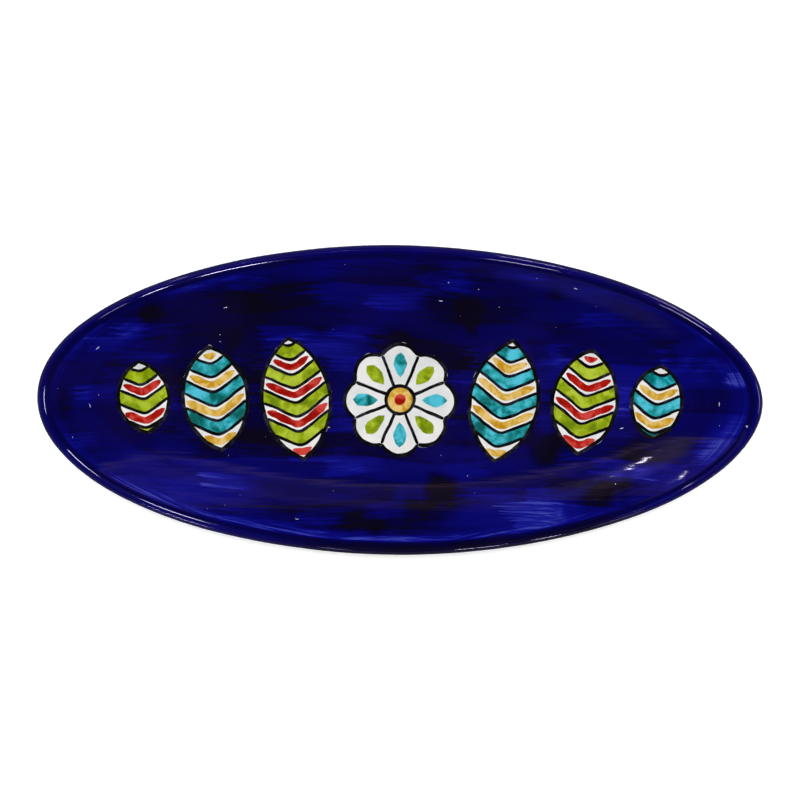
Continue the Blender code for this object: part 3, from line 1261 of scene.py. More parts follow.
class MotifTrees:
    """Geometry trees that lay strokes and patches of enamel on the plate's face, in metres."""

    placing = {
        "Copies": 1,
        "Pitch": 0.0,
        "Turn": 0.0,
        "Clip": False,
        "Leaf Radius": 1.0,
        "Leaf Offset": 0.0,
        "Centre X": 0.0,
        "Lean": 0.0,
        "Wander": 0.0005,
        "Wander Size": 0.012,
        "Seed": 0.0,
        "Lift": 0.0001,
        "Face": "Object",
        "Material": "Material",
    }
    noise_gain = 4.0
    drop_from = 1.0
    drop_reach = 2.0
    pressure_grain = 140.0
    pressure_gain = 3.0
    finest_end = 0.12
    stroke_sides = 8
    smallest_face = 2e-10
    fray_size = 0.009
    merge_distance = 2e-6

    def __init__(self) -> None:
        """Draws the groups that both trees use, and the trees."""
        self.repeat = self.draw_repeat()
        self.wander = self.draw_wander()
        self.lay = self.draw_lay()
        self.strokes = self.draw_strokes()
        self.patches = self.draw_patches()

    @staticmethod
    def draw_repeat() -> bpy.types.NodeTree:
        """Draws the group that repeats a motif up the page or round its middle.

        Returns:
            The group.
        """
        sketch = GeometrySketch("repeat_motif", {"Copies": 1, "Pitch": 0.0, "Turn": 0.0})
        given = sketch.given
        rise = sketch.combine(0.0, given["Pitch"])
        marks = sketch.value("GeometryNodeMeshLine", {"Count": given["Copies"], "Offset": rise})
        turn = sketch.turn(sketch.value("GeometryNodeInputIndex") * given["Turn"])
        inputs = {"Points": marks, "Instance": given["Geometry"], "Rotation": turn}
        copies = sketch.value("GeometryNodeInstanceOnPoints", inputs)
        return sketch.close(Geometry=sketch.value("GeometryNodeRealizeInstances", {0: copies}))

    def draw_wander(self) -> bpy.types.NodeTree:
        """Draws the group that lets a line wander like a hand, the same way for all that lies at one place.

        Returns:
            The group.
        """
        sketch = GeometrySketch("hand_wander", {"Amount": 0.0, "Size": 0.01, "Seed": 0.0})
        given = sketch.given
        x, y, _ = sketch.position.split()
        clouds = sketch.noise(sketch.combine(x, y), 1.0 / given["Size"], seed=given["Seed"], output=1)
        shift_x, shift_y, _ = (clouds - MIDDLE_GREY).split()
        amount = given["Amount"] * self.noise_gain
        offset = sketch.combine(shift_x * amount, shift_y * amount)
        wandered = sketch.value("GeometryNodeSetPosition", {0: given["Geometry"], "Offset": offset})
        return sketch.close(Geometry=wandered)

    def draw_lay(self) -> bpy.types.NodeTree:
        """Draws the group that drops a flat motif straight down on the plate's face.

        Returns:
            The group.
        """
        sketch = GeometrySketch("lay_on_face", {"Face": "Object", "Lift": 0.0})
        given = sketch.given
        x, y, z = sketch.position.split()
        inputs = {
            "Target Geometry": sketch.value("GeometryNodeObjectInfo", {0: given["Face"]}, "Geometry"),
            "Source Position": sketch.combine(x, y, self.drop_from),
            "Ray Direction": DOWN,
            "Ray Length": self.drop_reach,
        }
        _, _, level = sketch.value("GeometryNodeRaycast", inputs, "Hit Position").split()
        laid = sketch.moved(given["Geometry"], sketch.combine(x, y, level + z + given["Lift"]))
        return sketch.close(Geometry=laid)

    def draw_strokes(self) -> bpy.types.NodeTree:
        """Draws the tree that turns paths into brush strokes on the face.

        Returns:
            The tree.
        """
        inputs = {**self.placing, "Step": 0.0008, "Uneven": 0.3, "Plumpness": 0.08, "Taper": 0.002}
        sketch = GeometrySketch("lay_strokes", inputs)
        given = sketch.given
        paths = self.repeated(sketch)
        x, y, _ = sketch.position.split()
        outside = sketch.math("GREATER_THAN", abs(y), self.leaf_reach(sketch, x)) * given["Clip"]
        paths = sketch.value("GeometryNodeDeleteGeometry", {0: paths, 1: outside})
        curves = sketch.value("GeometryNodeMeshToCurve", {0: self.placed(sketch, paths)})
        inputs = {"Curve": curves, "Length": given["Step"]}
        curves = sketch.value("GeometryNodeResampleCurve", inputs, mode="LENGTH")
        curves = self.wandering(sketch, curves)
        curves = sketch.value("GeometryNodeSetCurveNormal", {0: curves}, mode="Z_UP")

        width = sketch.attribute("half_width", "FLOAT")
        pressure = sketch.noise(sketch.position, self.pressure_grain, seed=given["Seed"]) - 0.5
        pressure = pressure * (given["Uneven"] * self.pressure_gain) + 1.0
        along = sketch.value("GeometryNodeSplineParameter", output="Length")
        total = sketch.value("GeometryNodeSplineLength", output="Length")
        to_end = sketch.math("MINIMUM", along, total - along)
        closed = sketch.value("GeometryNodeInputSplineCyclic")
        touch = sketch.math("SQRT", sketch.math("MINIMUM", to_end / given["Taper"], 1.0))
        touch = sketch.math("MAXIMUM", sketch.math("MAXIMUM", touch, closed), self.finest_end)
        inputs = {"Resolution": self.stroke_sides, "Radius": 1.0}
        circle = sketch.value("GeometryNodeCurvePrimitiveCircle", inputs)
        flat = sketch.combine(1.0, given["Plumpness"], 1.0)
        profile = sketch.value("GeometryNodeTransform", {0: circle, "Scale": flat})
        size = width * pressure * touch
        inputs = {"Curve": curves, "Profile Curve": profile, "Scale": size, "Fill Caps": True}
        return self.laid(sketch, sketch.value("GeometryNodeCurveToMesh", inputs))

    def draw_patches(self) -> bpy.types.NodeTree:
        """Draws the tree that turns flat patches into thin enamel on the face.

        Returns:
            The tree.
        """
        inputs = {**self.placing, "Edge Wander": 0.0, "Edge Seed": 0.0, "Thickness": 0.00006}
        sketch = GeometrySketch("lay_patches", inputs)
        given = sketch.given
        sheet = self.repeated(sketch)
        x, y, _ = sketch.position.split()
        reach = self.leaf_reach(sketch, x)
        held = sketch.math("MAXIMUM", sketch.math("MINIMUM", y, reach), reach * -1.0)
        sheet = sketch.moved(sheet, sketch.combine(x, sketch.blend(given["Clip"], y, held)))
        area = sketch.value("GeometryNodeInputMeshFaceArea")
        empty = sketch.math("LESS_THAN", area, self.smallest_face)
        sheet = sketch.value("GeometryNodeDeleteGeometry", {0: sheet, 1: empty}, domain="FACE")
        sheet = self.wandering(sketch, self.placed(sketch, sheet))
        frays = {"Amount": given["Edge Wander"], "Size": self.fray_size, "Seed": given["Edge Seed"]}
        sheet = sketch.use(self.wander, {"Geometry": sheet, **frays})["Geometry"]
        sheet = sketch.merged(sheet, self.merge_distance)
        rise = sketch.combine(0.0, 0.0, given["Thickness"])
        inputs = {"Mesh": sheet, "Offset": rise, "Offset Scale": 1.0, "Individual": False}
        top = sketch.value("GeometryNodeExtrudeMesh", inputs)
        bottom = sketch.value("GeometryNodeFlipFaces", {0: sheet})
        both = sketch.node("GeometryNodeJoinGeometry", {0: bottom})
        sketch.feed(both.inputs[0], top)
        return self.laid(sketch, sketch.merged(sketch.fields(both)["Geometry"], self.merge_distance))

    def repeated(self, sketch: GeometrySketch) -> Field:
        """Adds the copies of a tree's motif."""
        inputs = {name: sketch.given[name] for name in ("Geometry", "Copies", "Pitch", "Turn")}
        return sketch.use(self.repeat, inputs)["Geometry"]

    def wandering(self, sketch: GeometrySketch, motif: Field) -> Field:
        """Lets a motif wander as its tree's inputs say.

        Args:
            sketch: The tree's sketch.
            motif: The motif.

        Returns:
            The motif with wandering lines.
        """
        given = sketch.given
        inputs = {"Amount": given["Wander"], "Size": given["Wander Size"], "Seed": given["Seed"]}
        return sketch.use(self.wander, {"Geometry": motif, **inputs})["Geometry"]

    def laid(self, sketch: GeometrySketch, motif: Field) -> bpy.types.NodeTree:
        """Ends a tree with its motif laid on the face."""
        inputs = {"Geometry": motif, "Face": sketch.given["Face"], "Lift": sketch.given["Lift"]}
        return sketch.finish(sketch.use(self.lay, inputs)["Geometry"])

    @staticmethod
    def leaf_reach(sketch: GeometrySketch, across: Field) -> Field:
        """Adds the sum for how far a leaf reaches from its middle along its length.

        Args:
            sketch: The tree's sketch.
            across: Distance from the leaf's long axis.

        Returns:
            The reach.
        """
        out = abs(across) + sketch.given["Leaf Offset"]
        square = sketch.math("POWER", sketch.given["Leaf Radius"], 2.0) - sketch.math("POWER", out, 2.0)
        return sketch.math("SQRT", sketch.math("MAXIMUM", square, 0.0))

    @staticmethod
    def placed(sketch: GeometrySketch, motif: Field) -> Field:
        """Leans a motif and carries it to its place along the band.

        Args:
            sketch: The tree's sketch.
            motif: The motif.

        Returns:
            The placed motif.
        """
        lean = sketch.turn(sketch.given["Lean"])
        inputs = {0: motif, "Translation": sketch.combine(sketch.given["Centre X"], 0.0), "Rotation": lean}
        return sketch.value("GeometryNodeTransform", inputs)


@dataclass(frozen=True)
class Leaf:
    """One painted leaf of the band: where it stands, its size and its two colours, in metres."""

    side: str
    place: str
    centre: float
    width: float
    length: float
    lean: float
    band: Paint
    accent: Paint

    @property
    def radius(self) -> float:
        """Radius of the two arcs that bound the leaf."""
        half = self.width / 2
        return ((self.length / 2) ** 2 + half**2) / (2 * half)

    @property
    def offset(self) -> float:
        """Distance from the leaf's long axis to the middle of each arc."""
        return self.radius - self.width / 2

    @property
    def node(self) -> str:
        """Name of the leaf's panel in the CAD frame."""
        return f"leaf_panel_{self.side}_{self.place}"

    def outline(self, steps: int = 60) -> Path2D:
        """Closed path round the leaf.

        Args:
            steps: Number of facets along each arc.

        Returns:
            The path's points in order.
        """
        reach = math.asin(self.length / 2 / self.radius)
        turns = spread(-reach, reach, steps)
        right = [(self.radius * math.cos(turn) - self.offset, self.radius * math.sin(turn)) for turn in turns]
        left = [(-x, -y) for x, y in right]
        return right[:-1] + left[:-1]


@dataclass
class PaintedBand:
    """The painted band across the plate: a rosette in the middle and three leaves on each side, in metres.

    The black lines inside the outlines are shares of the liner's half width.
    """

    face: bpy.types.Object
    trees: MotifTrees
    materials: dict[Paint, bpy.types.Material]
    petals: int = 8
    petal_radius: float = 0.0115
    petal_reach: float = 0.0195
    heart: float = 0.0078
    heart_seed: float = 0.0032
    drop_from_heart: float = 0.0045
    drop_past_reach: float = 0.0068
    drop_tip: float = 0.0004
    drop_swell: float = 0.0031
    drop_lag: float = 1.3
    drop_bluntness: float = 0.6
    drop_plumpness: float = 0.04
    leaf_places: tuple[str, ...] = ("inner", "middle", "outer")
    leaf_widths: tuple[float, ...] = (0.038, 0.036, 0.028)
    leaf_lengths: tuple[float, ...] = (0.068, 0.058, 0.040)
    leaf_spacing: float = 0.008
    leaf_lean: float = math.radians(8)
    liner: float = 0.00105
    chevron_line: float = 0.8
    divider_line: float = 0.85
    heart_line: float = 0.9
    blunt_taper: float = 0.0005
    chevron_pitch: float = 0.0160
    chevron_band: float = 0.0078
    chevron_slope: float = 0.62
    chevron_softness: float = 0.0025
    chevron_start: float = 0.004
    accent_half_width: float = 0.0020
    accent_margin: float = 0.0016
    accent_uneven: float = 0.35
    accent_taper: float = 0.004
    ground_margin: float = 0.0007
    rosette_fray: float = 0.0006
    ground_seed: float = 9.0
    wander_seed: float = 1.5
    ground_lift: float = 0.00004
    colour_lift: float = 0.00010
    line_lift: float = 0.00017

    def __post_init__(self) -> None:
        """Starts the heap of laid meshes, sorted by paint."""
        self.laid: dict[Paint, list[bpy.types.Mesh]] = {paint: [] for paint in Paint}

    def leaves(self) -> list[Leaf]:
        """Lists the six leaves, with their two pairs of colours by turns.

        Returns:
            The leaves, each side from the rosette outwards.
        """
        found = []
        for side, sign in (("left", -1), ("right", 1)):
            edge = self.petal_reach + self.petal_radius
            for i, place in enumerate(self.leaf_places):
                width = self.leaf_widths[i]
                centre = edge + self.leaf_spacing + width / 2
                edge = centre + width / 2
                warm = (i % 2 == 0) == (side == "left")
                colours = (Paint.LIME, Paint.RED) if warm else (Paint.TEAL, Paint.OCHRE)
                lean = -sign * self.leaf_lean
                found.append(Leaf(side, place, sign * centre, width, self.leaf_lengths[i], lean, *colours))
        return found

    def stroke(
        self,
        paint: Paint,
        paths: Sequence[Path2D],
        half_width: float | Callable[[float], float],
        closed: bool = False,
        **values: Any,
    ) -> None:
        """Lays brush strokes along paths.

        Args:
            paint: The enamel.
            paths: Paths in the motif's frame.
            half_width: Half of the stroke's width, or a rule for it from 0 to 1 along the path.
            closed: Whether each path closes on itself.
            **values: Other inputs of the tree, by name with underscores.
        """
        points: list[tuple[float, float, float]] = []
        edges: list[tuple[int, int]] = []
        widths: list[float] = []
        for path in paths:
            first = len(points)
            last = first + len(path) - 1
            points += [(x, y, 0.0) for x, y in path]
            edges += [(i, i + 1) for i in range(first, last)]
            if closed:
                edges.append((last, first))
            shares = spread(0.0, 1.0, len(path) - 1)
            widths += [half_width(share) if callable(half_width) else half_width for share in shares]
        base = bpy.data.meshes.new("paths")
        base.from_pydata(points, edges, [])
        base.attributes.new("half_width", "FLOAT", "POINT").data.foreach_set("value", widths)
        self.lay(paint, base, self.trees.strokes, {"lift": self.line_lift, **values})

    def patch(self, paint: Paint, rows: Sequence[Path2D], closed: bool = False, **values: Any) -> None:
        """Lays a thin patch of enamel.

        Args:
            paint: The enamel.
            rows: Rows of points in the motif's frame, all of one length.
            closed: Whether each row closes on itself.
            **values: Other inputs of the tree, by name with underscores.
        """
        count = len(rows[0])
        points = [(x, y, 0.0) for row in rows for x, y in row]
        faces = []
        for first in range(0, len(points) - count, count):
            for i in range(count if closed else count - 1):
                after = (i + 1) % count
                faces.append((first + i, first + after, first + count + after, first + count + i))
        base = bpy.data.meshes.new("patch")
        base.from_pydata(points, [], faces)
        self.lay(paint, base, self.trees.patches, {"lift": self.colour_lift, **values})

    def lay(
        self, paint: Paint, base: bpy.types.Mesh, tree: bpy.types.NodeTree, values: Mapping[str, Any]
    ) -> None:
        """Runs one of the trees, with its inputs by name with underscores, and keeps the result."""
        given = {"face": self.face, "material": self.materials[paint], "seed": self.wander_seed, **values}
        self.laid[paint].append(run_tree(paint.value.name, base, tree, named(given)))

    def paint_leaf(self, leaf: Leaf) -> None:
        """Paints one leaf: its white ground, its bands, its accents and its black lines.

        Args:
            leaf: The leaf.
        """
        half = leaf.width / 2
        frame = {"centre_x": leaf.centre, "lean": leaf.lean}
        clip = {**frame, "clip": True, "leaf_offset": leaf.offset}
        columns = [half * math.sin(turn) for turn in spread(-math.pi / 2, math.pi / 2, 48)]

        margin = self.ground_margin
        reach = leaf.length / 2 + 2 * margin
        wide = (half + margin) / half
        ground = [[(x * wide, y) for x in columns] for y in spread(-reach, reach, 48)]
        frays = {"edge_wander": margin, "edge_seed": self.ground_seed, "lift": self.ground_lift}
        self.patch(Paint.WHITE, ground, leaf_radius=leaf.radius + margin, **frays, **clip)

        fall = self.chevron_slope * half
        start = self.chevron_start - leaf.length / 2 - fall
        copies = math.ceil((leaf.length + fall) / self.chevron_pitch) + 1
        repeats = {"copies": copies, "pitch": self.chevron_pitch, **clip}
        soft = self.chevron_softness
        fine = spread(-half, half, 120)

        def chevron(rise: float, places: Sequence[float]) -> Path2D:
            """Path of a chevron whose point lies at a height."""
            return [(x, start + rise + self.chevron_slope * (math.hypot(x, soft) - soft)) for x in places]

        band = [chevron(rise, columns) for rise in spread(0.0, self.chevron_band, 6)]
        self.patch(leaf.band, band, leaf_radius=leaf.radius, **repeats)
        accent = chevron((self.chevron_band + self.chevron_pitch) / 2, fine)
        brush = {"lift": self.colour_lift, "uneven": self.accent_uneven, "taper": self.accent_taper}
        inside = leaf.radius - self.accent_margin
        self.stroke(leaf.accent, [accent], self.accent_half_width, leaf_radius=inside, **brush, **repeats)
        lines = [chevron(rise, fine) for rise in (0.0, self.chevron_band)]
        thin = self.liner * self.chevron_line
        self.stroke(Paint.BLACK, lines, thin, leaf_radius=leaf.radius, **repeats)
        self.stroke(Paint.BLACK, [leaf.outline()], self.liner, closed=True, **frame)

    def petal_edge(self, angle: float, margin: float = 0.0) -> tuple[float, float]:
        """Point of the petals' edge.

        Args:
            angle: Bearing from the rosette's middle.
            margin: Distance outside the edge.

        Returns:
            The point in the rosette's frame.
        """
        half_turn = math.pi / self.petals
        swing = (angle + half_turn) % (2 * half_turn) - half_turn
        across = self.petal_reach * math.sin(swing)
        reach = self.petal_reach * math.cos(swing) + math.sqrt((self.petal_radius + margin) ** 2 - across**2)
        return reach * math.cos(angle), reach * math.sin(angle)

    def paint_rosette(self) -> None:
        """Paints the rosette: its white ground, its petals and its heart."""
        half_turn = math.pi / self.petals
        sides = spread(0.0, 2 * math.pi, 192)[:-1]

        def filled(edge: Path2D, steps: int) -> list[Path2D]:
            """Rows from the middle out to an edge."""
            return [[(x * share, y * share) for x, y in edge] for share in spread(0.0, 1.0, steps)]

        def circle(radius: float) -> Path2D:
            """Plain ring."""
            return [(radius * math.cos(angle), radius * math.sin(angle)) for angle in sides[::3]]

        def drop_width(share: float) -> float:
            """Half width of a petal's drop along its length."""
            swell = math.sin(math.pi * share**self.drop_lag) ** self.drop_bluntness
            return self.drop_tip + self.drop_swell * swell

        edge = [self.petal_edge(angle, self.ground_margin) for angle in sides]
        frays = {"edge_wander": self.rosette_fray, "edge_seed": self.ground_seed, "lift": self.ground_lift}
        self.patch(Paint.WHITE, filled(edge, 24), closed=True, **frays)

        scallop = [self.petal_edge(half_turn * share) for share in spread(-1.0, 1.0, 40)]
        notch = math.hypot(*self.petal_edge(half_turn))
        lengths = spread(self.heart, notch, 20)
        divider = [(length * math.cos(half_turn), length * math.sin(half_turn)) for length in lengths]
        turns = {"copies": self.petals, "turn": 2 * half_turn, "taper": self.blunt_taper}
        self.stroke(Paint.BLACK, [scallop], self.liner, **turns)
        self.stroke(Paint.BLACK, [divider], self.liner * self.divider_line, **turns)

        drop_end = self.petal_reach + self.drop_past_reach
        drop = [(length, 0.0) for length in spread(self.heart + self.drop_from_heart, drop_end, 30)]
        pairs = {"copies": self.petals // 2, "turn": 4 * half_turn, "plumpness": self.drop_plumpness}
        pairs["lift"] = self.colour_lift
        self.stroke(Paint.TEAL, [drop], drop_width, **pairs)
        self.stroke(Paint.LIME, [drop], drop_width, lean=2 * half_turn, **pairs)

        self.patch(Paint.OCHRE, filled(circle(self.heart), 8), closed=True)
        self.patch(Paint.RED, filled(circle(self.heart_seed), 6), closed=True, lift=self.line_lift)
        self.stroke(Paint.BLACK, [circle(self.heart)], self.liner * self.heart_line, closed=True)

    def build(self) -> None:
        """Paints the whole band, with one piece for each enamel."""
        leaves = self.leaves()
        for leaf in leaves:
            self.paint_leaf(leaf)
        self.paint_rosette()
        for paint, meshes in self.laid.items():
            piece = make_piece(f"band_{paint.value.name}", meshes)
            dress(piece)
            if paint is Paint.WHITE:
                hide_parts("rosette_panel", *(leaf.node for leaf in leaves))


@dataclass
class GlazedBody:
    """The clay of the plate with its foot ring and the two glazes that cover it, in metres and degrees."""

    form: PlateForm
    turning: OvalTurning
    effects: ShaderEffects
    ground: EnamelFinish = EnamelFinish(
        "white_ground_glaze", (206, 205, 198), (222, 221, 215), (230, 229, 224), 0.02, 0.8, 7.0
    )
    foot_band: float = 0.0075
    foot_draft: float = 0.0012
    foot_edge: float = 0.0010
    foot_sway: float = 0.0002
    base_margin: float = 0.002
    clay_clearance: float = 0.00003
    line_wander: float = 0.0016
    line_drop: float = 0.25
    crease_angle: float = 10.6

    def build(self) -> bpy.types.Object:
        """Builds the four pieces.

        Returns:
            The cobalt glaze, for the painted band to lie on.
        """
        clay = ClayFinish().make(self.effects)
        self.build_clay(clay)
        self.build_foot(clay)
        self.build_base_coat()
        return self.build_cobalt()

    def build_cobalt(self) -> bpy.types.Object:
        """Builds the cobalt glaze, which rolls to a thick edge at its line underneath.

        Returns:
            The piece.
        """
        form = self.form
        depth = form.clay_depth - self.clay_clearance
        outer = form.skin(0.0, form.glaze_line, Fineness(floor=12, face=44, lip=20, wall=18))
        inner = form.skin(depth, form.glaze_line, Fineness(floor=2, face=10, lip=8, wall=8))
        sway = (self.line_wander, self.line_wander * self.line_drop)
        line = [Station(end.inset, end.height, *sway) for end in (outer[-1], inner[-1])]
        section = outer[:-1] + line + inner[-2::-1]
        material = CobaltFinish(form.face_run).make(self.effects)
        crease = self.crease_angle
        piece = self.turning.turn("cobalt_glaze", section, material, steps=600, sharp_angle=crease)
        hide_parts("cobalt_coat")
        dress(piece)
        return piece

    def build_clay(self, clay: bpy.types.Material) -> None:
        """Builds the clay body under the glaze.

        Args:
            clay: Material of the bare clay.
        """
        form = self.form
        section = form.skin(form.clay_depth, form.half_width, Fineness(floor=2, face=12, lip=8, wall=22))
        piece = self.turning.turn("earthenware_body", section, clay, steps=360)
        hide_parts("clay_body")
        dress(piece)

    def build_foot(self, clay: bpy.types.Material) -> None:
        """Builds the foot ring, with drafted sides and worn edges.

        Args:
            clay: Material of the bare clay.
        """
        form = self.form
        seat = form.coupe_radius + form.wall - form.clay_depth
        outer = form.foot_inset
        inner = outer + self.foot_band
        section = [Station(inset, form.arc_height(inset, seat)) for inset in spread(outer, inner, 4)]
        quarter = spread(0.0, math.pi / 2, 4)
        corners = ((inner - self.foot_draft, 1, quarter), (outer + self.foot_draft, -1, quarter[::-1]))
        for edge, side, turns in corners:
            centre = edge - side * self.foot_edge
            for turn in turns:
                inset = centre + side * self.foot_edge * math.cos(turn)
                section.append(Station(inset, self.foot_edge * (1 - math.sin(turn)), self.foot_sway))
        piece = self.turning.turn("earthenware_foot", section, clay, steps=480, closed=True)
        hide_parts("foot_ring")
        dress(piece)

    def build_base_coat(self) -> None:
        """Builds the white ground glaze inside the foot ring."""
        form = self.form
        edge = form.foot_inset + self.foot_band + self.base_margin
        lower = form.coupe_radius + form.wall
        upper = lower - form.clay_depth + self.clay_clearance
        sides = []
        for radius in (lower, upper):
            rows = [*spread(edge, form.floor_inset, 8), form.half_width]
            side = [Station(inset, form.arc_height(inset, radius)) for inset in rows]
            side[0] = Station(side[0].inset, side[0].height, self.base_margin)
            sides.append(side)
        under, over = sides
        glaze = self.ground.make(self.effects)
        piece = self.turning.turn("ground_glaze", under[::-1] + over, glaze, steps=360)
        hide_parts("base_coat")
        dress(piece)


@dataclass(frozen=True)
class Scatter:
    """How thickly spots are scattered over the face, and their sizes in metres."""

    density: float
    seed: int
    smallest: float
    largest: float
    stretch: float


@dataclass
class GlazePinholes:
    """Pinholes and short skips of the brush where the glaze's white ground shows, in metres."""

    face: bpy.types.Object
    face_run: float
    effects: ShaderEffects
    white: EnamelFinish = EnamelFinish(
        "pinhole_white", (186, 188, 206), (206, 208, 220), (226, 226, 232), 0.01, 1.0, 8.0
    )
    pinholes: Scatter = Scatter(900.0, 11, 0.00012, 0.00034, 1.0)
    skips: Scatter = Scatter(110.0, 4, 0.00022, 0.00032, 5.0)
    below_lip: float = 0.005
    rarity: float = 3.0
    flatness: float = 0.35

    def draw_tree(self) -> bpy.types.NodeTree:
        """Draws the tree that scatters pinholes over the face.

        Returns:
            The tree.
        """
        inputs = {**named(asdict(self.pinholes)), "Last Run": self.face_run, "Material": "Material"}
        sketch = GeometrySketch("scatter_pinholes", inputs)
        given = sketch.given
        _, run, _ = sketch.attribute(UV_NAME, "FLOAT_VECTOR").split()
        inputs = {
            "Mesh": given["Geometry"],
            "Selection": sketch.math("LESS_THAN", run, given["Last Run"]),
            "Density": given["Density"],
            "Seed": given["Seed"],
        }
        points = sketch.fields(sketch.node("GeometryNodeDistributePointsOnFaces", inputs))
        grain = sketch.value("GeometryNodeMeshIcoSphere", {"Radius": 1.0, "Subdivisions": 2})
        pick = sketch.value("FunctionNodeRandomValue", {"Seed": given["Seed"]}, "Value", data_type="FLOAT")
        rare = sketch.math("POWER", pick, self.rarity)
        size = rare * (given["Largest"] - given["Smallest"]) + given["Smallest"]
        inputs = {
            "Points": points["Points"],
            "Instance": grain,
            "Rotation": points["Rotation"],
            "Scale": sketch.combine(size * given["Stretch"], size, size * self.flatness),
        }
        return sketch.finish(sketch.value("GeometryNodeInstanceOnPoints", inputs))

    def build(self) -> None:
        """Scatters the pinholes and the skips as one piece."""
        white = self.white.make(self.effects)
        tree = self.draw_tree()
        shared = {"Last Run": self.face_run - self.below_lip, "Material": white}
        meshes = []
        for scatter in (self.pinholes, self.skips):
            values = {**named(asdict(scatter)), **shared}
            meshes.append(run_tree("glaze_pinholes", self.face.data.copy(), tree, values))
        dress(make_piece("glaze_pinholes", meshes))


@dataclass(frozen=True)
class Softbox:
    """One lamp, hung where the camera sees it mirrored at a spot of the glaze, in metres."""

    name: str
    spot: tuple[float, float]
    width: float
    height: float
    radiance: float
    distance: float = 1.6


@dataclass(frozen=True)
class LowLamp:
    """One lamp that stands low in the room and glints along the lip, in metres and degrees.

    The bearing is measured from +X towards +Y, and the half angle is how far the lamp reaches to either side.
    """

    name: str
    bearing: float
    half_angle: float
    height: float
    radiance: float
    off_vertical: float = 83.5
    distance: float = 6.0


@dataclass(frozen=True)
class CeilingBand:
    """A band of soft light across the ceiling that the glaze mirrors, brightest along its near edge.

    Places on the ceiling are measured from above the plate, in shares of the ceiling's height. To the right
    and to the left of the middle the edges bend back.
    """

    colour: tuple[float, float, float] = (0.110, 0.072, 0.090)
    near_edge: float = 0.40
    near_bend: tuple[float, float] = (1.45, 0.60)
    far_edge: float = 0.82
    far_bend: tuple[float, float] = (3.1, 2.0)
    softness: float = 0.05
    line_past_edge: float = 0.05
    line_width: float = 0.025
    line_strength: float = 3.4
    streak_width: float = 0.055
    streak_stretch: float = 2.0
    streak_strength: Fade = Fade(0.36, 0.64, 0.25, 2.0)
    horizon: float = 0.01

    def draw(self, sketch: NodeSketch, direction: Field) -> Field:
        """Draws the band's light.

        Args:
            sketch: The world's sketch.
            direction: Direction from the plate.

        Returns:
            The light's colour.
        """
        sideways, back, up = direction.split()
        height = sketch.math("MAXIMUM", up, self.horizon)
        sideways = sideways / height
        back = back / height
        near = self.past_edge(sketch, sideways, back, self.near_edge, self.near_bend)
        far = self.past_edge(sketch, sideways, back, self.far_edge, self.far_bend)
        starts = sketch.remap(near, -self.softness, self.softness)
        ends = sketch.remap(far, -self.softness, self.softness, 1.0, 0.0)
        from_line = abs(near - self.line_past_edge)
        line = sketch.remap(from_line, 0.0, self.line_width, self.line_strength, 0.0)
        place = sketch.combine(sideways * (self.streak_stretch * self.streak_width), near)
        streaks = self.streak_strength.of(sketch.noise(place, 1 / self.streak_width, seed=2.7))
        return starts * ends * (line + streaks) * self.colour

    @staticmethod
    def past_edge(
        sketch: NodeSketch, sideways: Field, back: Field, edge: float, bend: tuple[float, float]
    ) -> Field:
        """Finds how far past an edge of the band a place lies.

        Args:
            sketch: The world's sketch.
            sideways: Place on the ceiling to the right.
            back: Place on the ceiling to the back.
            edge: Where the edge crosses the middle.
            bend: How fast it bends back to the right and to the left.

        Returns:
            The distance to the back of the edge.
        """
        right = sketch.math("MAXIMUM", sideways, 0.0) * bend[0]
        left = sketch.math("MINIMUM", sideways, 0.0) * -bend[1]
        return back - (right + left + edge)


@dataclass(frozen=True)
class Glow:
    """A soft glow of the room, strongest where the camera sees it mirrored at a spot of the glaze."""

    spot: tuple[float, float]
    colour: tuple[float, float, float]
    fades_at: float


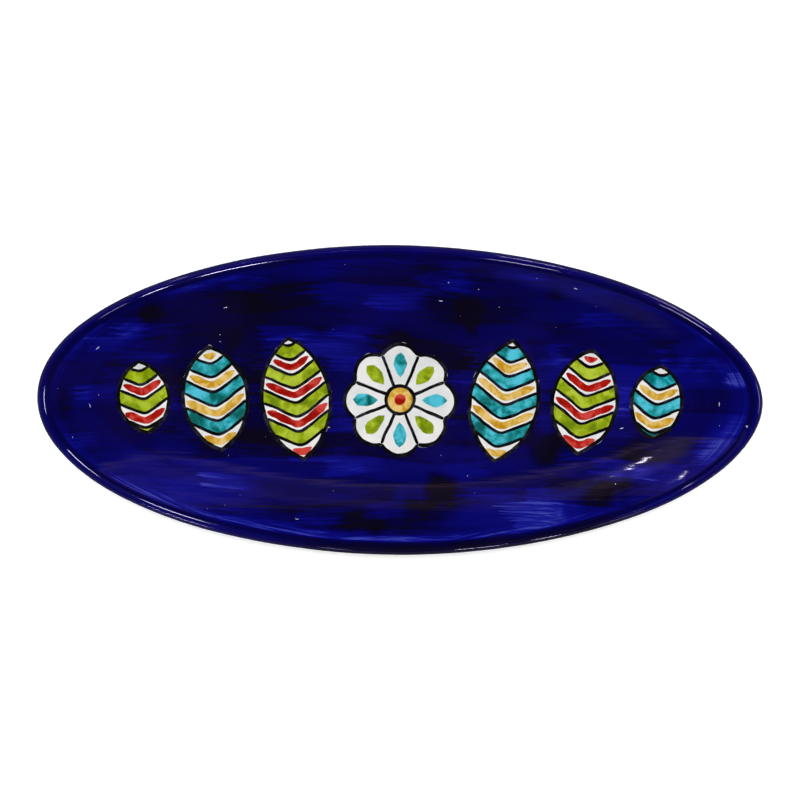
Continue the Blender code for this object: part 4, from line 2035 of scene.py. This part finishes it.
@dataclass
class Studio:
    """White floor, soft light and a camera straight above the plate, in metres."""

    face: bpy.types.Object
    target: Vector
    lens: float = 100.0
    sensor: float = 36.0
    picture_width: float = 0.4405
    roll: float = math.radians(0.556)
    daylight: float = 1.0
    daylight_angle: float = math.radians(26)
    daylight_tilt: float = math.radians(4)
    floor_radius: float = 30.0
    floor_gap: float = 0.0002
    floor_lift: float = 0.25
    floor_mirrored: float = 0.11
    room_level: float = 0.006
    ceiling: CeilingBand = CeilingBand()
    glows: tuple[Glow, ...] = (
        Glow((0.1450, -0.0305), (0.28, 0.22, 0.22), 0.980),
        Glow((0.1150, 0.0560), (0.11, 0.09, 0.085), 0.985),
    )
    softboxes: tuple[Softbox, ...] = (
        Softbox("glint_high", (0.1328, -0.0336), 0.050, 0.022, 60.0),
        Softbox("glint_middle", (0.1543, -0.0417), 0.055, 0.012, 60.0),
        Softbox("glint_left", (0.1907, -0.0132), 0.03, 0.03, 30.0),
    )
    lamp_colour: tuple[float, float, float] = (0.84, 0.77, 1.0)
    low_lamps: tuple[LowLamp, ...] = (
        LowLamp("right_low", 4.0, 15.0, height=0.35, radiance=30.0, off_vertical=75.0),
        LowLamp("back_right_low", 56.0, 7.5, height=0.20, radiance=60.0),
        LowLamp("back_right_high", 76.3, 4.0, height=0.20, radiance=55.0),
        LowLamp("back_left", 113.6, 1.1, height=0.5, radiance=15.0),
        LowLamp("front_right_near", -81.5, 2.5, height=0.20, radiance=80.0),
        LowLamp("front_right", -74.4, 1.7, height=0.20, radiance=90.0),
        LowLamp("front_right_far", -66.5, 3.3, height=0.25, radiance=14.0),
        LowLamp("front_left", -114.0, 5.8, height=0.16, radiance=75.0),
        LowLamp("front_left_near", -96.5, 1.9, height=0.16, radiance=32.0),
    )

    def build(self) -> None:
        """Builds the floor, the lights and the camera."""
        self.build_floor()
        self.build_lights()
        self.build_camera()

    def build_floor(self) -> None:
        """Lays a wide white floor that keeps the plate's shadow."""
        shape = bmesh.new()
        bmesh.ops.create_circle(shape, cap_ends=True, segments=96, radius=self.floor_radius)
        mesh = bpy.data.meshes.new("floor")
        shape.to_mesh(mesh)
        shape.free()
        material = bpy.data.materials.new("floor_white")
        material.use_nodes = True
        sketch = NodeSketch(material.node_tree)
        path = sketch.fields(sketch.node("ShaderNodeLightPath"))
        mirrored = (self.floor_mirrored,) * 3 + (1.0,)
        lift = (self.floor_lift,) * 3 + (1.0,)
        inputs = {
            "Base Color": sketch.tint(path["Is Glossy Ray"], WHITE, mirrored),
            "Emission Color": sketch.tint(path["Is Camera Ray"], BLACK, lift),
            "Emission Strength": 1.0,
            "Roughness": 1.0,
            "Specular IOR Level": 0.0,
        }
        sketch.fill(material.node_tree.nodes["Principled BSDF"], inputs)
        mesh.materials.append(material)
        floor = add_object("floor", mesh)
        floor.location.z = -self.floor_gap

    def build_lights(self) -> None:
        """Hangs an even soft light for the colours and the lamps that the glaze mirrors."""
        bpy.context.scene.world = self.make_room()
        sky = bpy.data.lights.new("overcast", "SUN")
        sky.energy = math.pi * self.daylight
        sky.angle = self.daylight_angle
        overhead = add_object("overcast", sky)
        overhead.visible_glossy = False
        overhead.rotation_euler.x = -self.daylight_tilt
        for box in self.softboxes:
            place, out = self.mirrored(box.spot)
            self.hang_lamp(box.name, place + out * box.distance, out, (box.width, box.height), box.radiance)
        for low in self.low_lamps:
            bearing = math.radians(low.bearing)
            off_vertical = math.radians(low.off_vertical)
            level = Vector((math.cos(bearing), math.sin(bearing), 0.0))
            out = level * math.sin(off_vertical) + Vector(UP) * math.cos(off_vertical)
            width = 2 * low.distance * math.tan(math.radians(low.half_angle))
            self.hang_lamp(low.name, self.target + out * low.distance, out, (width, low.height), low.radiance)

    def hang_lamp(
        self, name: str, place: Vector, out: Vector, size: tuple[float, float], radiance: float
    ) -> None:
        """Hangs one lamp that only the gloss of the glaze shows.

        Args:
            name: Name of the lamp.
            place: Where it hangs.
            out: Direction from the plate to the lamp.
            size: Width and height.
            radiance: How bright it looks, where 1 is white.
        """
        light = bpy.data.lights.new(name, "AREA")
        light.shape = "ELLIPSE"
        light.color = self.lamp_colour
        light.size, light.size_y = size
        light.energy = radiance * math.pi * (math.pi / 4) * size[0] * size[1]
        lamp = add_object(name, light)
        lamp.location = place
        lamp.rotation_euler = out.to_track_quat("Z", "Y").to_euler()
        lamp.visible_diffuse = False
        lamp.visible_camera = False

    @property
    def eye(self) -> Vector:
        """Where the camera hangs."""
        return self.target + Vector((0.0, 0.0, self.picture_width * self.lens / self.sensor))

    def mirrored(self, spot: tuple[float, float]) -> tuple[Vector, Vector]:
        """Finds what the camera sees mirrored at a spot of the glaze.

        Args:
            spot: Place on the plate, seen from above.

        Returns:
            The point on the glaze, and the direction that it mirrors.
        """
        _, place, normal, _ = self.face.ray_cast(Vector((*spot, 1.0)), Vector(DOWN))
        towards = (self.eye - place).normalized()
        return place, 2 * normal.dot(towards) * normal - towards

    def make_room(self) -> bpy.types.World:
        """Makes a dim room with soft glows for the glaze to mirror, white to the camera itself.

        Returns:
            The world.
        """
        world = bpy.data.worlds.new("dim_room")
        world.use_nodes = True
        sketch = NodeSketch(world.node_tree)
        direction = sketch.value("ShaderNodeTexCoord", output="Generated")
        light = self.ceiling.draw(sketch, direction) + (self.room_level,) * 3
        for glow in self.glows:
            _, out = self.mirrored(glow.spot)
            inputs = {0: direction, 1: tuple(out)}
            towards = sketch.value("ShaderNodeVectorMath", inputs, "Value", operation="DOT_PRODUCT")
            light = sketch.remap(towards, glow.fades_at, 1.0) * glow.colour + light
        path = sketch.fields(sketch.node("ShaderNodeLightPath"))
        seen = sketch.math("MAXIMUM", path["Is Camera Ray"], path["Is Transmission Ray"])
        sketch.fill(world.node_tree.nodes["Background"], {"Color": sketch.tint(seen, light, WHITE)})
        return world

    def build_camera(self) -> None:
        """Hangs the camera straight above the lip, turned so that the right end sits a little lower."""
        camera = bpy.data.cameras.new("camera")
        camera.lens = self.lens
        camera.sensor_width = self.sensor
        eye = add_object("camera", camera)
        eye.matrix_world = Matrix.Translation(self.eye) @ Matrix.Rotation(self.roll, 4, "Z")
        scene = bpy.context.scene
        scene.camera = eye
        scene.view_settings.view_transform = "Standard"


def main() -> None:
    """Dresses the plate and sets up the picture."""
    logging.basicConfig(level=logging.INFO, format="%(name)s: %(message)s")
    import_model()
    form = PlateForm.from_frame()
    effects = ShaderEffects()
    face = GlazedBody(form, OvalTurning(form), effects).build()
    materials = {paint: paint.value.make(effects) for paint in Paint}
    PaintedBand(face, MotifTrees(), materials).build()
    GlazePinholes(face, form.face_run, effects).build()
    Studio(face, Vector((0.0, 0.0, form.lip_height))).build()


if __name__ == "__main__":
    main()
